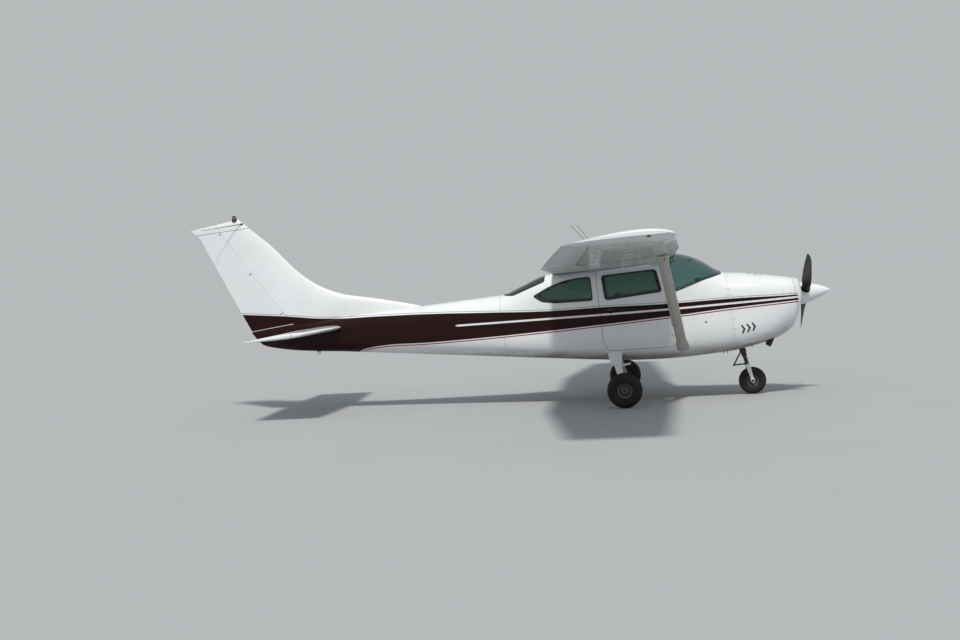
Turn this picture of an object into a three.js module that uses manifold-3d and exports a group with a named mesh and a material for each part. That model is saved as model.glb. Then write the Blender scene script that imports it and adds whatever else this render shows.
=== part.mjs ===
// A four-seat high-wing light aircraft, parked on its nose wheel and two main wheels, in millimetres.
// It is drawn in its own axes: x forward from the spinner's tip, y to port, z up from the nose tyre's foot.
// At the end the whole aircraft is tipped nose up, as it stands on its tyres.
import * as THREE from "three";
import { mergeVertices } from "three/addons/utils/BufferGeometryUtils.js";
import Module from "manifold-3d";

const wasm = await Module();
wasm.setup();

// Whole aircraft
const ATTITUDE = 0.0938; // nose-up angle on the ground, radians
const NOSE_FOOT_X = -1183; // the nose tyre's foot, behind the spinner's tip
const WHEEL_BASE = 1690;
const TRACK = 2430;
const SEAM = 0.5; // gap between fixed panels
const MOVING_GAP = 6; // gap round a moving panel

// Fuselage
const COWL_FRONT = -405;
const BOWL_BACK = -500;
const COWL_BACK = -1352;
const CABIN_FRONT = -1354;
const CABIN_BACK = -4340;
const TAIL_END = -7855;
const WALL = 35; // cabin wall and doors
const SKIN = 12; // cowl
const TAIL_SKIN = 7;
const PANEL = 7; // skin of the hollow wings and tail surfaces
const VENT_RADIUS = 10; // hole into each hollow, on a hidden face
const GLASS = 8;
const RING_POINTS = 20;
const PROP_AXIS_Z = 1242;

// Cross-sections, front to back. Columns: x, top, bottom, half width, height of the widest line,
// and the powers that round the upper and lower halves.
const SECTIONS = [
  [-405, 1395, 1150, 285, 1262, 2.6, 2.4],
  [-425, 1447, 1100, 345, 1262, 2.6, 2.4],
  [-470, 1466, 985, 385, 1255, 2.7, 2.4],
  [-540, 1486, 845, 418, 1245, 2.8, 2.5],
  [-680, 1522, 748, 455, 1230, 2.9, 2.6],
  [-935, 1584, 672, 498, 1215, 3.0, 3.4],
  [-1210, 1640, 636, 524, 1200, 3.1, 3.9],
  [-1354, 1664, 622, 534, 1200, 3.1, 4.0],
  [-1440, 1713, 618, 537, 1200, 3.0, 4.0],
  [-1654, 1881, 618, 549, 1200, 3.1, 4.0],
  [-1813, 1962, 619, 555, 1200, 3.7, 4.0],
  [-1940, 1998, 620, 558, 1200, 4.8, 4.0],
  [-2100, 1990, 625, 560, 1200, 6.0, 4.0],
  [-2573, 1975, 661, 560, 1200, 6.0, 4.0],
  [-3213, 1968, 751, 545, 1230, 5.6, 3.8],
  [-3690, 1962, 829, 508, 1270, 4.4, 3.6],
  [-4033, 1866, 883, 470, 1300, 3.6, 3.4],
  [-4340, 1778, 935, 434, 1330, 3.0, 3.2],
  [-5069, 1783, 1056, 358, 1400, 2.6, 2.8],
  [-5600, 1784, 1145, 302, 1450, 2.5, 2.6],
  [-6118, 1784, 1232, 248, 1500, 2.4, 2.5],
  [-6603, 1784, 1314, 198, 1550, 2.3, 2.4],
  [-6980, 1784, 1369, 155, 1590, 2.3, 2.4],
  [-7288, 1782, 1423, 120, 1620, 2.3, 2.3],
  [-7593, 1770, 1500, 82, 1650, 2.3, 2.3],
  [-7713, 1765, 1543, 66, 1665, 2.3, 2.3],
  [-7800, 1761, 1625, 50, 1700, 2.3, 2.3],
  [-7855, 1758, 1725, 32, 1742, 2.2, 2.2],
];

// Side-view outlines, each a list of x, z corners
const WINDSHIELD = [
  [-1404, 1655], [-1660, 1606], [-2030, 1508], [-2078, 1790], [-2088, 1926], [-1952, 2000], [-1400, 2100],
];
const REAR_WINDOW = [[-3700, 2010], [-3712, 1880], [-4155, 1752], [-4288, 1772], [-4288, 1830]];
const SIDE_WINDOW = [
  [-3108, 1544], [-3104, 1856], [-3271, 1862], [-3459, 1848], [-3654, 1801], [-3885, 1704], [-3774, 1616],
  [-3592, 1577],
];
const DOOR = [[-2168, 1888], [-3024, 1896], [-3040, 985], [-2979, 861], [-2136, 801], [-2136, 1500]];
const DOOR_WINDOW = [[-2246, 1831], [-2954, 1846], [-2945, 1527], [-2207, 1537]];
const BAGGAGE_DOOR = [[-3790, 1500], [-4190, 1480], [-4190, 1130], [-3790, 1090]];
const DOOR_HINGE_X = -2131;
const DOOR_HINGE_Y = 563;
const DOOR_HINGE_ZS = [1010, 1430];
const DOOR_KNUCKLE = { radius: 11, length: 45 };
const BAGGAGE_HINGE_X = -3787;
const BAGGAGE_HINGE_ZS = [1170, 1400];
const BAGGAGE_KNUCKLE = { radius: 9, length: 35 };
const HALF_WIDTHS_OUT = 800; // past the fuselage's side
const INSIDE_Y = 200; // between the middle plane and any side window or door
const DOOR_INSIDE_Y = 462; // the doors' lining is upright here, clear of the heads of the people inside
// Radii of the rounded corners
const WINDSCREEN_CORNER = 25;
const SIDE_WINDOW_CORNER = 40;
const DOOR_CORNER = 30;
const DOOR_WINDOW_CORNER = 45;

// Wing. Columns: y, leading edge x, chord, incidence in degrees, thickness over chord, lift of the tip cap
const WING_ROOT_Y = 460;
const WING_BREAK_Y = 2540;
const WING_LEADING_X = -1974;
const WING_LEADING_Z = 2007;
const WING_SWEEP = 128;
const WING_CAMBER = 0.02;
const DIHEDRAL = THREE.MathUtils.degToRad(1.75);
const DIHEDRAL_FROM_Y = 550;
const WING = [
  [WING_ROOT_Y, WING_LEADING_X, 1626, 1.5, 0.12, 0],
  [WING_BREAK_Y, WING_LEADING_X, 1626, 1.5, 0.12, 0],
  [5330, WING_LEADING_X - WING_SWEEP, 1105, -1.4, 0.12, 0],
  [5420, WING_LEADING_X - WING_SWEEP - 22, 1060, -1.5, 0.095, 10],
  [5460, WING_LEADING_X - WING_SWEEP - 75, 930, -1.5, 0.035, 24],
];
const HOLLOW_YS = [640, 5300];
const FLAP_YS = [620, 2500];
const FLAP_NOSE = 0.71; // share of the chord where the flap's nose lies
const FLAP_PIVOT = [0.8, -170]; // share of the chord, and height over the chord line
const FLAP_UPPER = 0.0373; // height of the wing's upper side at the pivot's share, over the chord
const LIP_THICKNESS = 8; // from the wing's upper side to the flap's arc, at the lip's end
const AILERON_YS = [2560, 5230];
const AILERON_HINGE = 0.77;
const AILERON_RADII = [54, 37];

// Tail surfaces. Columns: y, leading edge x, chord, thickness over chord
const TAILPLANE_Z = 1655;
const TAILPLANE = [
  [0, -6564, 1000, 0.088],
  [1700, -6667, 850, 0.075],
  [1775, -6690, 820, 0.03],
];
const ELEVATOR_HINGE_X = -7010;
const ELEVATOR_RADII = [48, 31];
const ELEVATOR_ROOT_Y = 166;
const ELEVATOR_TUBE_RADIUS = 20;
const HORN_Y = 1600;
const HORN_X = -6860;

// Fin and rudder together. Columns: leading edge x and z, trailing edge x and z, thickness
const FIN = [
  [-5330, 1740, -7845, 1700, 90],
  [-5455, 1788, -7876, 1783, 108],
  [-6017, 1965, -7949, 1965, 112],
  [-6545, 2115, -8008, 2115, 110],
  [-6847, 2276, -8072, 2276, 106],
  [-7080, 2480, -8153, 2480, 100],
  [-7414, 2893, -8317, 2893, 82],
  [-7690, 3183, -8421, 3154, 66],
  [-7794, 3292, -8493, 3235, 56],
  [-7838, 3330, -8532, 3274, 26],
];
const RUDDER_HINGE = { foot: [-7310, 1755], top: [-8410, 3648] };
const RUDDER_RADII = [58, 30];
const RUDDER_FOOT = [[-7290, 1800], [-7870, 1773]];

// Engine blocks. Columns: front x, back x, half width, bottom, top
const ENGINE = [
  [-620, -1290, 368, 1050, 1395],
  [-620, -1290, 250, 1390, 1450],
  [-700, -1190, 240, 870, 1055],
];

// Propeller and spinner
const PROP_PLANE_X = -330;
const HUB_BACK = -386;
const FIREWALL_FRONT = -1340;
const PROP_RADIUS = 1040;
const PROP_TURN = THREE.MathUtils.degToRad(28); // starboard blade above the level
const SPINNER = [[0, 0], [42, -62], [82, -150], [116, -250], [139, -345], [146, -392]]; // radius, x
const SPINNER_SKIN = 5;
// Columns: radius, chord, thickness, pitch in degrees
const BLADE = [
  [60, 92, 88, 62],
  [170, 108, 66, 52],
  [320, 150, 38, 38],
  [560, 168, 24, 27],
  [820, 146, 15, 21],
  [980, 112, 9, 18],
  [PROP_RADIUS, 58, 5, 17],
];

// Wheels
const MAIN_TYRE = { radius: 222.5, width: 160, rim: 88 };
const NOSE_TYRE = { radius: 180.5, width: 126, rim: 72 };
const AXLE_RADIUS = 20;
const NOSE_AXLE_RADIUS = 14;
const AXLE_PLAY = 0.5;
const WHEEL_SIDES = 24;
const WHEEL_TURN = ATTITUDE + Math.PI / WHEEL_SIDES; // so that each wheel stands on a flat
const STRUT_LEAN = 0.1775; // the nose strut goes this far aft for each millimetre up

// Main gear leg. Columns: y, x, z of the middle, chord, thickness
const LEG = [
  [455, -2905, 838, 156, 40],
  [545, -2904, 782, 140, 34],
  [700, -2894, 678, 104, 30],
  [860, -2880, 576, 82, 27],
  [1010, -2862, 476, 78, 25],
  [1118, -2852, 402, 78, 25],
];

// Wing strut. Columns: y, x, z of the middle, chord, thickness
const STRUT = [
  [500, -2031, 752, 150, 66],
  [640, -2042, 835, 150, 66],
  [760, -2051, 905, 128, 54],
  [2440, -2181, 1884, 128, 54],
  [2540, -2189, 1942, 142, 62],
  [2640, -2197, 2001, 142, 62],
];

// Materials, by colour, roughness and metalness
const paint = (colour, roughness = 0.35, metalness = 0) =>
  new THREE.MeshStandardMaterial({ color: colour, roughness, metalness });
const WHITE = 0xe9ecf0;
const CREAM = 0xe2dccb;
const MAROON = 0x3a1517;
const GLAZING = 0x4f8570;
const BLACK = 0x17171a;
const STEEL = 0x8d9196;
const ALLOY = 0xb9bcc0;
const RUBBER = 0x1c1c1e;
const TRIM = 0x5c5147;
const CLOTH = 0x5a4a42;
const RED = 0x7a1210;

const point = (x, y, z) => new THREE.Vector3(x, y, z);
const mix = (a, b, share) => a + (b - a) * share;
const mixRow = (a, b, share) => a.map((value, i) => mix(value, b[i], share));

// The solid that a closed geometry bounds, with its faces turned out.
function toSolid(geometry) {
  const bare = geometry.index ? geometry.toNonIndexed() : geometry.clone();
  bare.deleteAttribute("normal");
  bare.deleteAttribute("uv");
  const merged = mergeVertices(bare, 1e-3);
  const corners = new Uint32Array(merged.index.array);
  const make = () =>
    new wasm.Manifold(
      new wasm.Mesh({ numProp: 3, vertProperties: merged.attributes.position.array, triVerts: corners }),
    );
  const solid = make();
  if (solid.volume() > 0) return solid;
  for (let i = 0; i < corners.length; i += 3) {
    [corners[i + 1], corners[i + 2]] = [corners[i + 2], corners[i + 1]];
  }
  return make();
}

// The geometry of a solid's surface.
function toGeometry(solid) {
  const mesh = solid.getMesh();
  const geometry = new THREE.BufferGeometry();
  geometry.setAttribute("position", new THREE.BufferAttribute(new Float32Array(mesh.vertProperties), 3));
  geometry.setIndex(new THREE.BufferAttribute(new Uint32Array(mesh.triVerts), 1));
  return geometry;
}

const join = (first, ...rest) => rest.reduce((all, next) => all.add(next), first);
const cut = (first, ...rest) => rest.reduce((left, next) => left.subtract(next), first);
const mirrored = (solid) => toSolid(toGeometry(solid).scale(1, -1, 1));
const moved = (solid, x, y, z) => toSolid(toGeometry(solid).translate(x, y, z));

// A closed solid through rings of points that have one length, with flat ends.
function loft(rings) {
  const count = rings[0].length;
  const middle = (ring) => ring.reduce((sum, p) => sum.add(p), point(0, 0, 0)).divideScalar(count);
  const points = [...rings.flat(), middle(rings[0]), middle(rings.at(-1))];
  const frontMiddle = points.length - 2;
  const backMiddle = points.length - 1;
  const backStart = (rings.length - 1) * count;
  const index = [];
  for (let i = 0; i < count; i += 1) {
    const next = (i + 1) % count;
    for (let start = 0; start < backStart; start += count) {
      const [a, b, c, d] = [start + i, start + next, start + count + next, start + count + i];
      // The diagonals of the starboard side mirror those of the port side.
      if (points[a].y + points[b].y < 0) index.push(a, b, d, b, c, d);
      else index.push(a, b, c, a, c, d);
    }
    index.push(frontMiddle, next, i);
    index.push(backMiddle, backStart + i, backStart + next);
  }
  const geometry = new THREE.BufferGeometry().setFromPoints(points);
  geometry.setIndex(index);
  return toSolid(geometry);
}

// A box between two corners.
function box(low, high) {
  const size = low.map((value, i) => high[i] - value);
  const middle = low.map((value, i) => (high[i] + value) / 2);
  return toSolid(new THREE.BoxGeometry(...size).translate(...middle));
}

// A round bar from one point to another.
function bar(from, to, radius, sides = 20, endRadius = radius) {
  const along = to.clone().sub(from);
  const shape = new THREE.CylinderGeometry(endRadius, radius, along.length(), sides);
  const turn = new THREE.Quaternion().setFromUnitVectors(point(0, 1, 0), along.clone().normalize());
  const middle = from.clone().add(to).divideScalar(2);
  return toSolid(shape.applyQuaternion(turn).translate(middle.x, middle.y, middle.z));
}

// A flat outline of x, z corners, its corners rounded, as thick as from one y to another.
function slab(outline, fromY, toY, radius = 0) {
  const corners = outline.map(([x, z]) => new THREE.Vector2(x, z));
  const shape = new THREE.Shape();
  corners.forEach((corner, i) => {
    const before = corners.at(i - 1).clone().sub(corner);
    const after = corners[(i + 1) % corners.length].clone().sub(corner);
    const start = corner.clone().add(before.setLength(Math.min(radius, before.length() / 2.1)));
    const end = corner.clone().add(after.setLength(Math.min(radius, after.length() / 2.1)));
    if (i === 0) shape.moveTo(start.x, start.y);
    else shape.lineTo(start.x, start.y);
    if (radius > 0) shape.quadraticCurveTo(corner.x, corner.y, end.x, end.y);
  });
  const options = { depth: toY - fromY, bevelEnabled: false, curveSegments: 2 };
  const geometry = new THREE.ExtrudeGeometry(shape, options);
  return toSolid(geometry.rotateX(Math.PI / 2).translate(0, toY, 0));
}

// The outline moved out (or in, if negative) by a distance from its middle, along both axes.
function grown(outline, distance) {
  const xs = outline.map(([x]) => x);
  const zs = outline.map(([, z]) => z);
  const middleX = (Math.min(...xs) + Math.max(...xs)) / 2;
  const middleZ = (Math.min(...zs) + Math.max(...zs)) / 2;
  const scaleX = 1 + (2 * distance) / (Math.max(...xs) - Math.min(...xs));
  const scaleZ = 1 + (2 * distance) / (Math.max(...zs) - Math.min(...zs));
  return outline.map(([x, z]) => [middleX + (x - middleX) * scaleX, middleZ + (z - middleZ) * scaleZ]);
}

// An aerofoil that lies inside another of this chord and ratio, all round by the thickness of a panel,
// and behind its leading edge and ahead of its trailing edge by a distance.
function innerAerofoil(chord, ratio, camber, distance) {
  const innerChord = chord - 2 * distance;
  const innerRatio = (ratio * chord - 2 * PANEL) / innerChord;
  return aerofoil(innerChord, innerRatio, camber, 3).map(([behind, height]) => [behind + distance, height]);
}

// A body of revolution about a line along x or y, from radius and distance pairs that close on themselves.
function turned(profile, axis, centre, sides, turn = 0) {
  const points = profile.map(([radius, along]) => new THREE.Vector2(radius, along));
  const geometry = new THREE.LatheGeometry(points, sides).rotateY(turn);
  if (axis === "x") geometry.rotateZ(-Math.PI / 2);
  return toSolid(geometry.translate(...centre));
}

// A symmetric rounded section for legs and struts, in distances along the chord and across it.
function streamline(chord, thickness, count = 12) {
  return Array.from({ length: count }, (_, i) => {
    const angle = (2 * Math.PI * i) / count;
    return [(chord / 2) * Math.cos(angle), (thickness / 2) * Math.sin(angle)];
  });
}

// A four-digit aerofoil, from the upper trailing edge round the nose to the lower one.
// Each point is its distance behind the leading edge and its height.
function aerofoil(chord, ratio, camber = 0, steps = 8) {
  const peak = 0.4;
  const half = (s) =>
    5 * ratio * (0.2969 * Math.sqrt(s) - 0.126 * s - 0.3516 * s ** 2 + 0.2843 * s ** 3 - 0.1015 * s ** 4);
  const line = (s) =>
    s < peak
      ? (camber / peak ** 2) * (2 * peak * s - s ** 2)
      : (camber / (1 - peak) ** 2) * (1 - 2 * peak + 2 * peak * s - s ** 2);
  const points = [];
  for (let i = -steps; i <= steps; i += 1) {
    const s = (1 - Math.cos((Math.PI * Math.abs(i)) / steps)) / 2;
    points.push([chord * s, chord * (line(s) - Math.sign(i) * half(s))]);
  }
  return points;
}

// Fuselage

function sectionAt(x) {
  const last = SECTIONS.length - 2;
  const found = SECTIONS.findIndex((row, i) => i === last || SECTIONS[i + 1][0] <= x);
  const [a, b] = [SECTIONS[found], SECTIONS[found + 1]];
  return mixRow(a, b, (x - a[0]) / (b[0] - a[0]));
}

function fuselageRing(x, inset, count = RING_POINTS) {
  const [, top, bottom, halfWidth, widest, upper, lower] = sectionAt(x);
  return Array.from({ length: count }, (_, i) => {
    const angle = (2 * Math.PI * (i + 0.5)) / count;
    const isUpper = Math.sin(angle) > 0;
    const power = 2 / (isUpper ? upper : lower);
    const height = isUpper ? top - inset - widest : widest - bottom - inset;
    const across = (halfWidth - inset) * Math.sign(Math.cos(angle)) * Math.abs(Math.cos(angle)) ** power;
    const up = height * Math.sign(Math.sin(angle)) * Math.abs(Math.sin(angle)) ** power;
    return point(x, across, widest + up);
  });
}

// The fuselage's outer shape between two stations, moved in by an inset.
function fuselage(front, back, inset = 0, count = RING_POINTS) {
  const between = SECTIONS.map(([x]) => x).filter((x) => x < front - 1 && x > back + 1);
  return loft([front, ...between, back].map((x) => fuselageRing(x, inset, count)));
}

const shell = (front, back, inset) => cut(fuselage(front, back), fuselage(front + 1, back - 1, inset));

// Knuckles of a hinge at stations along its line: the lower one is fixed, the upper one moves.
function knuckles(fixed, moving, foot, direction, stations, { radius, length }) {
  const play = 0.5;
  const at = (distance) => foot.clone().addScaledVector(direction, distance);
  stations.forEach((station) => {
    const lower = bar(at(station - length), at(station - play), radius, 8);
    const upper = bar(at(station), at(station + length), radius, 8);
    const lowerRoom = bar(at(station - length - play), at(station), radius + 1.5, 8);
    const upperRoom = bar(at(station - play), at(station + length + play), radius + 1.5, 8);
    fixed = join(cut(fixed, upperRoom), lower);
    moving = join(cut(moving, lowerRoom), upper);
  });
  return [fixed, moving];
}

// A movable surface: the part of a wing behind a hinge line, with a round nose about that line.
// The frame's forward axis lies in the surface, and its up axis crosses the surface.
function hingeFrame(from, to, forwardHint) {
  const along = to.clone().sub(from).normalize();
  const forward = forwardHint.clone().addScaledVector(along, -forwardHint.dot(along)).normalize();
  const across = forward.clone().cross(along);
  return { from, to, along, forward, across };
}

const FAR = 1500; // behind any hinge

function surfaceCutter(frame, radii, grow, lipAngle = 0, startAngle = Math.PI) {
  const arcSteps = 7;
  const ring = (base, radius) => {
    const arc = Array.from({ length: arcSteps + 1 }, (_, i) => {
      const angle = mix(startAngle, lipAngle, i / arcSteps);
      return [Math.sin(angle) * (radius + grow), Math.cos(angle) * (radius + grow)];
    });
    const [first, last] = [arc[0], arc.at(-1)];
    const outline = [[first[0], -FAR], ...arc, [last[0], FAR], [-FAR, FAR], [-FAR, -FAR]];
    return outline.map(([x, z]) =>
      base.clone().addScaledVector(frame.forward, x).addScaledVector(frame.across, z),
    );
  };
  const from = frame.from.clone().addScaledVector(frame.along, -grow);
  const to = frame.to.clone().addScaledVector(frame.along, grow);
  return loft([ring(from, radii[0]), ring(to, radii[1])]);
}

// A plate across a hinge line at a share of its length, from one distance ahead of the line to another
// and from one height over it to another.
function hingePlate(frame, share, [back, front], [low, high], halfWidth) {
  const foot = frame.from.clone().lerp(frame.to, share);
  const outline = [[back, low], [front, low], [front, high], [back, high]].map(([x, z]) =>
    foot.clone().addScaledVector(frame.forward, x).addScaledVector(frame.across, z),
  );
  const side = (distance) => outline.map((p) => p.clone().addScaledVector(frame.along, distance));
  return loft([side(-halfWidth), side(halfWidth)]);
}

const ARM_WIDTH = 12;
const ARM_RADIUS = 8;
const ARM_PLAY = 0.5;

// Arms that reach from the fixed surface to the hinge line, and the slots for them in the moving one.
function hingeArms(frame, shares, reach, noseRadius) {
  const arms = shares.map((share) =>
    hingePlate(frame, share, [-ARM_RADIUS, reach], [-ARM_RADIUS, ARM_RADIUS], ARM_WIDTH / 2),
  );
  const slotBack = -ARM_RADIUS - MOVING_GAP;
  const slotTop = noseRadius + 20;
  const slots = shares.map((share) =>
    hingePlate(frame, share, [slotBack, noseRadius + 10], [-slotTop, slotTop], ARM_WIDTH / 2 + ARM_PLAY),
  );
  return { arms, slots };
}

// Wing

function wingRow(y) {
  const found = WING.findIndex((row, i) => i === WING.length - 2 || WING[i + 1][0] >= y);
  const [a, b] = [WING[found], WING[found + 1]];
  return mixRow(a, b, (y - a[0]) / (b[0] - a[0]));
}

// A point of the wing at a station, by its distance behind the leading edge and height over the chord.
function onWing(y, behind, height) {
  const [, leadingX, , incidence, , lift] = wingRow(y);
  const angle = THREE.MathUtils.degToRad(incidence);
  const rise = (y - DIHEDRAL_FROM_Y) * Math.tan(DIHEDRAL) + lift;
  return point(
    leadingX - behind * Math.cos(angle) - height * Math.sin(angle),
    y,
    WING_LEADING_Z + rise + height * Math.cos(angle) - behind * Math.sin(angle),
  );
}

function wingRing(y) {
  const [, , chord, , ratio] = wingRow(y);
  return aerofoil(chord, ratio, WING_CAMBER).map(([behind, height]) => onWing(y, behind, height));
}

const wholeWing = () => loft(WING.map(([y]) => wingRing(y)));

function flapFrame() {
  const [share, height] = FLAP_PIVOT;
  const chord = wingRow(WING_ROOT_Y)[2];
  const at = (y) => onWing(y, share * chord, height);
  return hingeFrame(at(FLAP_YS[0]), at(FLAP_YS[1]), point(1, 0, 0));
}

// The flap is an arc about a pivot below the wing, which slides out from under the wing's upper lip.
// Its room in the wing is the same shape grown by the moving gap.
function flapCutter(grow) {
  const chord = wingRow(WING_ROOT_Y)[2];
  const [pivotShare, pivotHeight] = FLAP_PIVOT;
  const radius = FLAP_UPPER * chord - LIP_THICKNESS - pivotHeight;
  const nose = (pivotShare - FLAP_NOSE) * chord + grow;
  const noseAngle = Math.asin(nose / (radius + grow));
  const lipAngle = grow > 0 ? 0 : -MOVING_GAP / radius;
  return surfaceCutter(flapFrame(), [radius, radius], grow, lipAngle, noseAngle);
}

// Plates on the wing that hold the flap, and the slots for them in the flap's nose.
// Distances are ahead of the flap's pivot and over it.
function flapTracks() {
  const frame = flapFrame();
  const shares = [0.08, 0.5, 0.92];
  const [reach, nose] = [90, 210];
  const tracks = shares.map((share) => hingePlate(frame, share, [reach, nose], [172, 200], ARM_WIDTH / 2));
  const slots = shares.map((share) =>
    hingePlate(frame, share, [reach - MOVING_GAP, nose], [60, 300], ARM_WIDTH / 2 + ARM_PLAY),
  );
  return { tracks, slots };
}

function aileronFrame() {
  const at = (y) => onWing(y, AILERON_HINGE * wingRow(y)[2], 0.009 * wingRow(y)[2]);
  return hingeFrame(at(AILERON_YS[0]), at(AILERON_YS[1]), point(1, 0, 0));
}

function portWing() {
  const whole = wholeWing();
  const aileron = aileronFrame();
  const flapSpace = flapCutter(MOVING_GAP);
  const aileronSpace = surfaceCutter(aileron, AILERON_RADII, MOVING_GAP);
  const hinges = hingeArms(aileron, [0.06, 0.5, 0.94], 90, AILERON_RADII[0]);
  const runners = flapTracks();
  const cabin = fuselage(-1900, -3800, -SEAM);
  const tieDown = bar(onWing(2700, 470, -20), onWing(2700, 470, -92), 16, 16);
  const hollowRing = (y) => {
    const [, , chord, , ratio] = wingRow(y);
    const inner = innerAerofoil(chord, ratio, WING_CAMBER, 3 * PANEL);
    return inner.map(([behind, height]) => onWing(y, behind, height));
  };
  const [innerY, outerY] = HOLLOW_YS;
  const hollow = cut(
    loft([innerY, WING_BREAK_Y, outerY].map(hollowRing)),
    flapCutter(MOVING_GAP + PANEL),
    surfaceCutter(aileron, AILERON_RADII, MOVING_GAP + PANEL),
  );
  const vent = bar(onWing(innerY + 20, 500, 30), onWing(WING_ROOT_Y - 20, 500, 30), VENT_RADIUS, 6);
  const fixed = cut(whole, flapSpace, aileronSpace, cabin, hollow, vent);
  return {
    wing: join(fixed, ...hinges.arms, ...runners.tracks, tieDown),
    flap: cut(whole.intersect(flapCutter(0)), ...runners.slots),
    aileron: cut(whole.intersect(surfaceCutter(aileron, AILERON_RADII, 0)), ...hinges.slots),
  };
}

// The cabin roof between the wings, open below.
function cabinRoof() {
  const halfWidth = WING_ROOT_Y - SEAM;
  const ring = (y, drop) =>
    aerofoil(wingRow(WING_ROOT_Y)[2], 0.12, WING_CAMBER).map(([behind, height]) => {
      const at = onWing(WING_ROOT_Y, behind, height);
      return point(at.x, y, at.z - drop);
    });
  const roof = loft([ring(-halfWidth, 0), ring(halfWidth, 0)]);
  const [front, back, halfHollow] = [-2080, -3390, 400];
  const reach = box([back, -halfHollow, 1700], [front, halfHollow, 2200]);
  const hollow = loft([ring(-halfHollow, WALL), ring(halfHollow, WALL)]).intersect(reach);
  const below = box([back, -halfHollow, 1700], [front, halfHollow, 1990]);
  return cut(roof, fuselage(-1900, -3800, -SEAM), hollow, below);
}

// Rings of a limb that leaves the fuselage's side, from rows of y, x, z, chord and thickness.
// Its sections lean by 30 degrees: down and outward for a strut, up and outward for a leg.
function limb(rows, lean, count) {
  return loft(rows.map(([y, x, z, chord, thickness]) =>
    streamline(chord, thickness, count).map(([along, across]) =>
      point(x + along, y + lean * across * 0.5, z + across * 0.86),
    ),
  ));
}

const strutPiece = () =>
  cut(limb(STRUT, -1, 12), fuselage(-1700, -2400, -SEAM), moved(wholeWing(), 0, 0, -SEAM));

// Cabin

function windowPane(outline, fromY, toY, radius) {
  const pane = shell(-1356, -4338, GLASS);
  return pane.intersect(slab(grown(outline, -SEAM), fromY, toY, radius));
}

function cabinParts() {
  const through = HALF_WIDTHS_OUT;
  const outer = fuselage(CABIN_FRONT, CABIN_BACK);
  const inner = fuselage(CABIN_FRONT + 1, CABIN_BACK + 15, WALL);
  const wall = cut(outer, inner);
  const doorHole = grown(DOOR, MOVING_GAP - 1);
  const baggageHole = grown(BAGGAGE_DOOR, MOVING_GAP - 1);
  let cabin = cut(
    wall,
    slab(WINDSHIELD, -through, through, WINDSCREEN_CORNER),
    slab(REAR_WINDOW, -through, through, WINDSCREEN_CORNER),
    slab(SIDE_WINDOW, -through, -INSIDE_Y, SIDE_WINDOW_CORNER),
    slab(SIDE_WINDOW, INSIDE_Y, through, SIDE_WINDOW_CORNER),
    slab(doorHole, -through, -INSIDE_Y, DOOR_CORNER + MOVING_GAP),
    slab(doorHole, INSIDE_Y, through, DOOR_CORNER + MOVING_GAP),
    slab(baggageHole, INSIDE_Y, through, DOOR_CORNER + MOVING_GAP),
  );
  const shellOnly = shell(CABIN_FRONT, CABIN_BACK, WALL);
  let door = cut(
    shellOnly.intersect(slab(DOOR, DOOR_INSIDE_Y, through, DOOR_CORNER)),
    slab(DOOR_WINDOW, INSIDE_Y, through, DOOR_WINDOW_CORNER),
  );
  let baggage = shellOnly.intersect(slab(BAGGAGE_DOOR, INSIDE_Y, through, DOOR_CORNER));
  const up = point(0, 0, 1);
  const doorFoot = point(DOOR_HINGE_X, DOOR_HINGE_Y, 0);
  [cabin, door] = knuckles(cabin, door, doorFoot, up, DOOR_HINGE_ZS, DOOR_KNUCKLE);
  let mirroredCabin = mirrored(cabin);
  [mirroredCabin] = knuckles(mirroredCabin, door, doorFoot, up, DOOR_HINGE_ZS, DOOR_KNUCKLE);
  cabin = mirrored(mirroredCabin);
  const baggageFoot = point(BAGGAGE_HINGE_X, baggageHingeY(), 0);
  [cabin, baggage] = knuckles(cabin, baggage, baggageFoot, up, BAGGAGE_HINGE_ZS, BAGGAGE_KNUCKLE);
  return { cabin, door, baggage };
}

// The y of the fuselage's side at the baggage door's front edge, and a little out from it.
function baggageHingeY() {
  return fuselageRing(BAGGAGE_HINGE_X, 0).reduce((most, p) => Math.max(most, p.y), 0) + 3;
}

const FLOOR_TOP = 790;
const SEAT_FOOT = { front: 1000, rear: 985 }; // heights of the seats' undersides

// A floor plate that rises behind the rear seat, with the front seats' rails and every seat's feet.
function cabinFloor() {
  const [top, thick] = [FLOOR_TOP, 20];
  const [front, knee, back, backTop] = [-1420, -3000, -4318, 992];
  const plate = [
    [front, top - thick], [front, top], [knee, top], [back, backTop], [back, backTop - thick],
    [knee, top - thick],
  ];
  const inside = fuselage(-1400, -4330, WALL + SEAM);
  const seatFeet = [];
  for (const y of [90, 430, -90, -430]) {
    seatFeet.push(box([-2700, y - 14, top - 5], [-2300, y + 14, top + 18]));
    for (const x of [-2340, -2640]) {
      seatFeet.push(box([x - 14, y - 10, top], [x + 14, y + 10, SEAT_FOOT.front - SEAM]));
    }
  }
  for (const y of [-290, 0, 290]) {
    seatFeet.push(box([-3420, y - 15, top], [-3180, y + 15, SEAT_FOOT.rear - SEAM]));
  }
  return join(slab(plate, -600, 600), ...seatFeet).intersect(inside);
}

const CONTROL_WHEEL = { y: 265, z: 1440, back: -1920, front: -1892, halfWidth: 130, grip: 14, top: 1545 };

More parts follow.
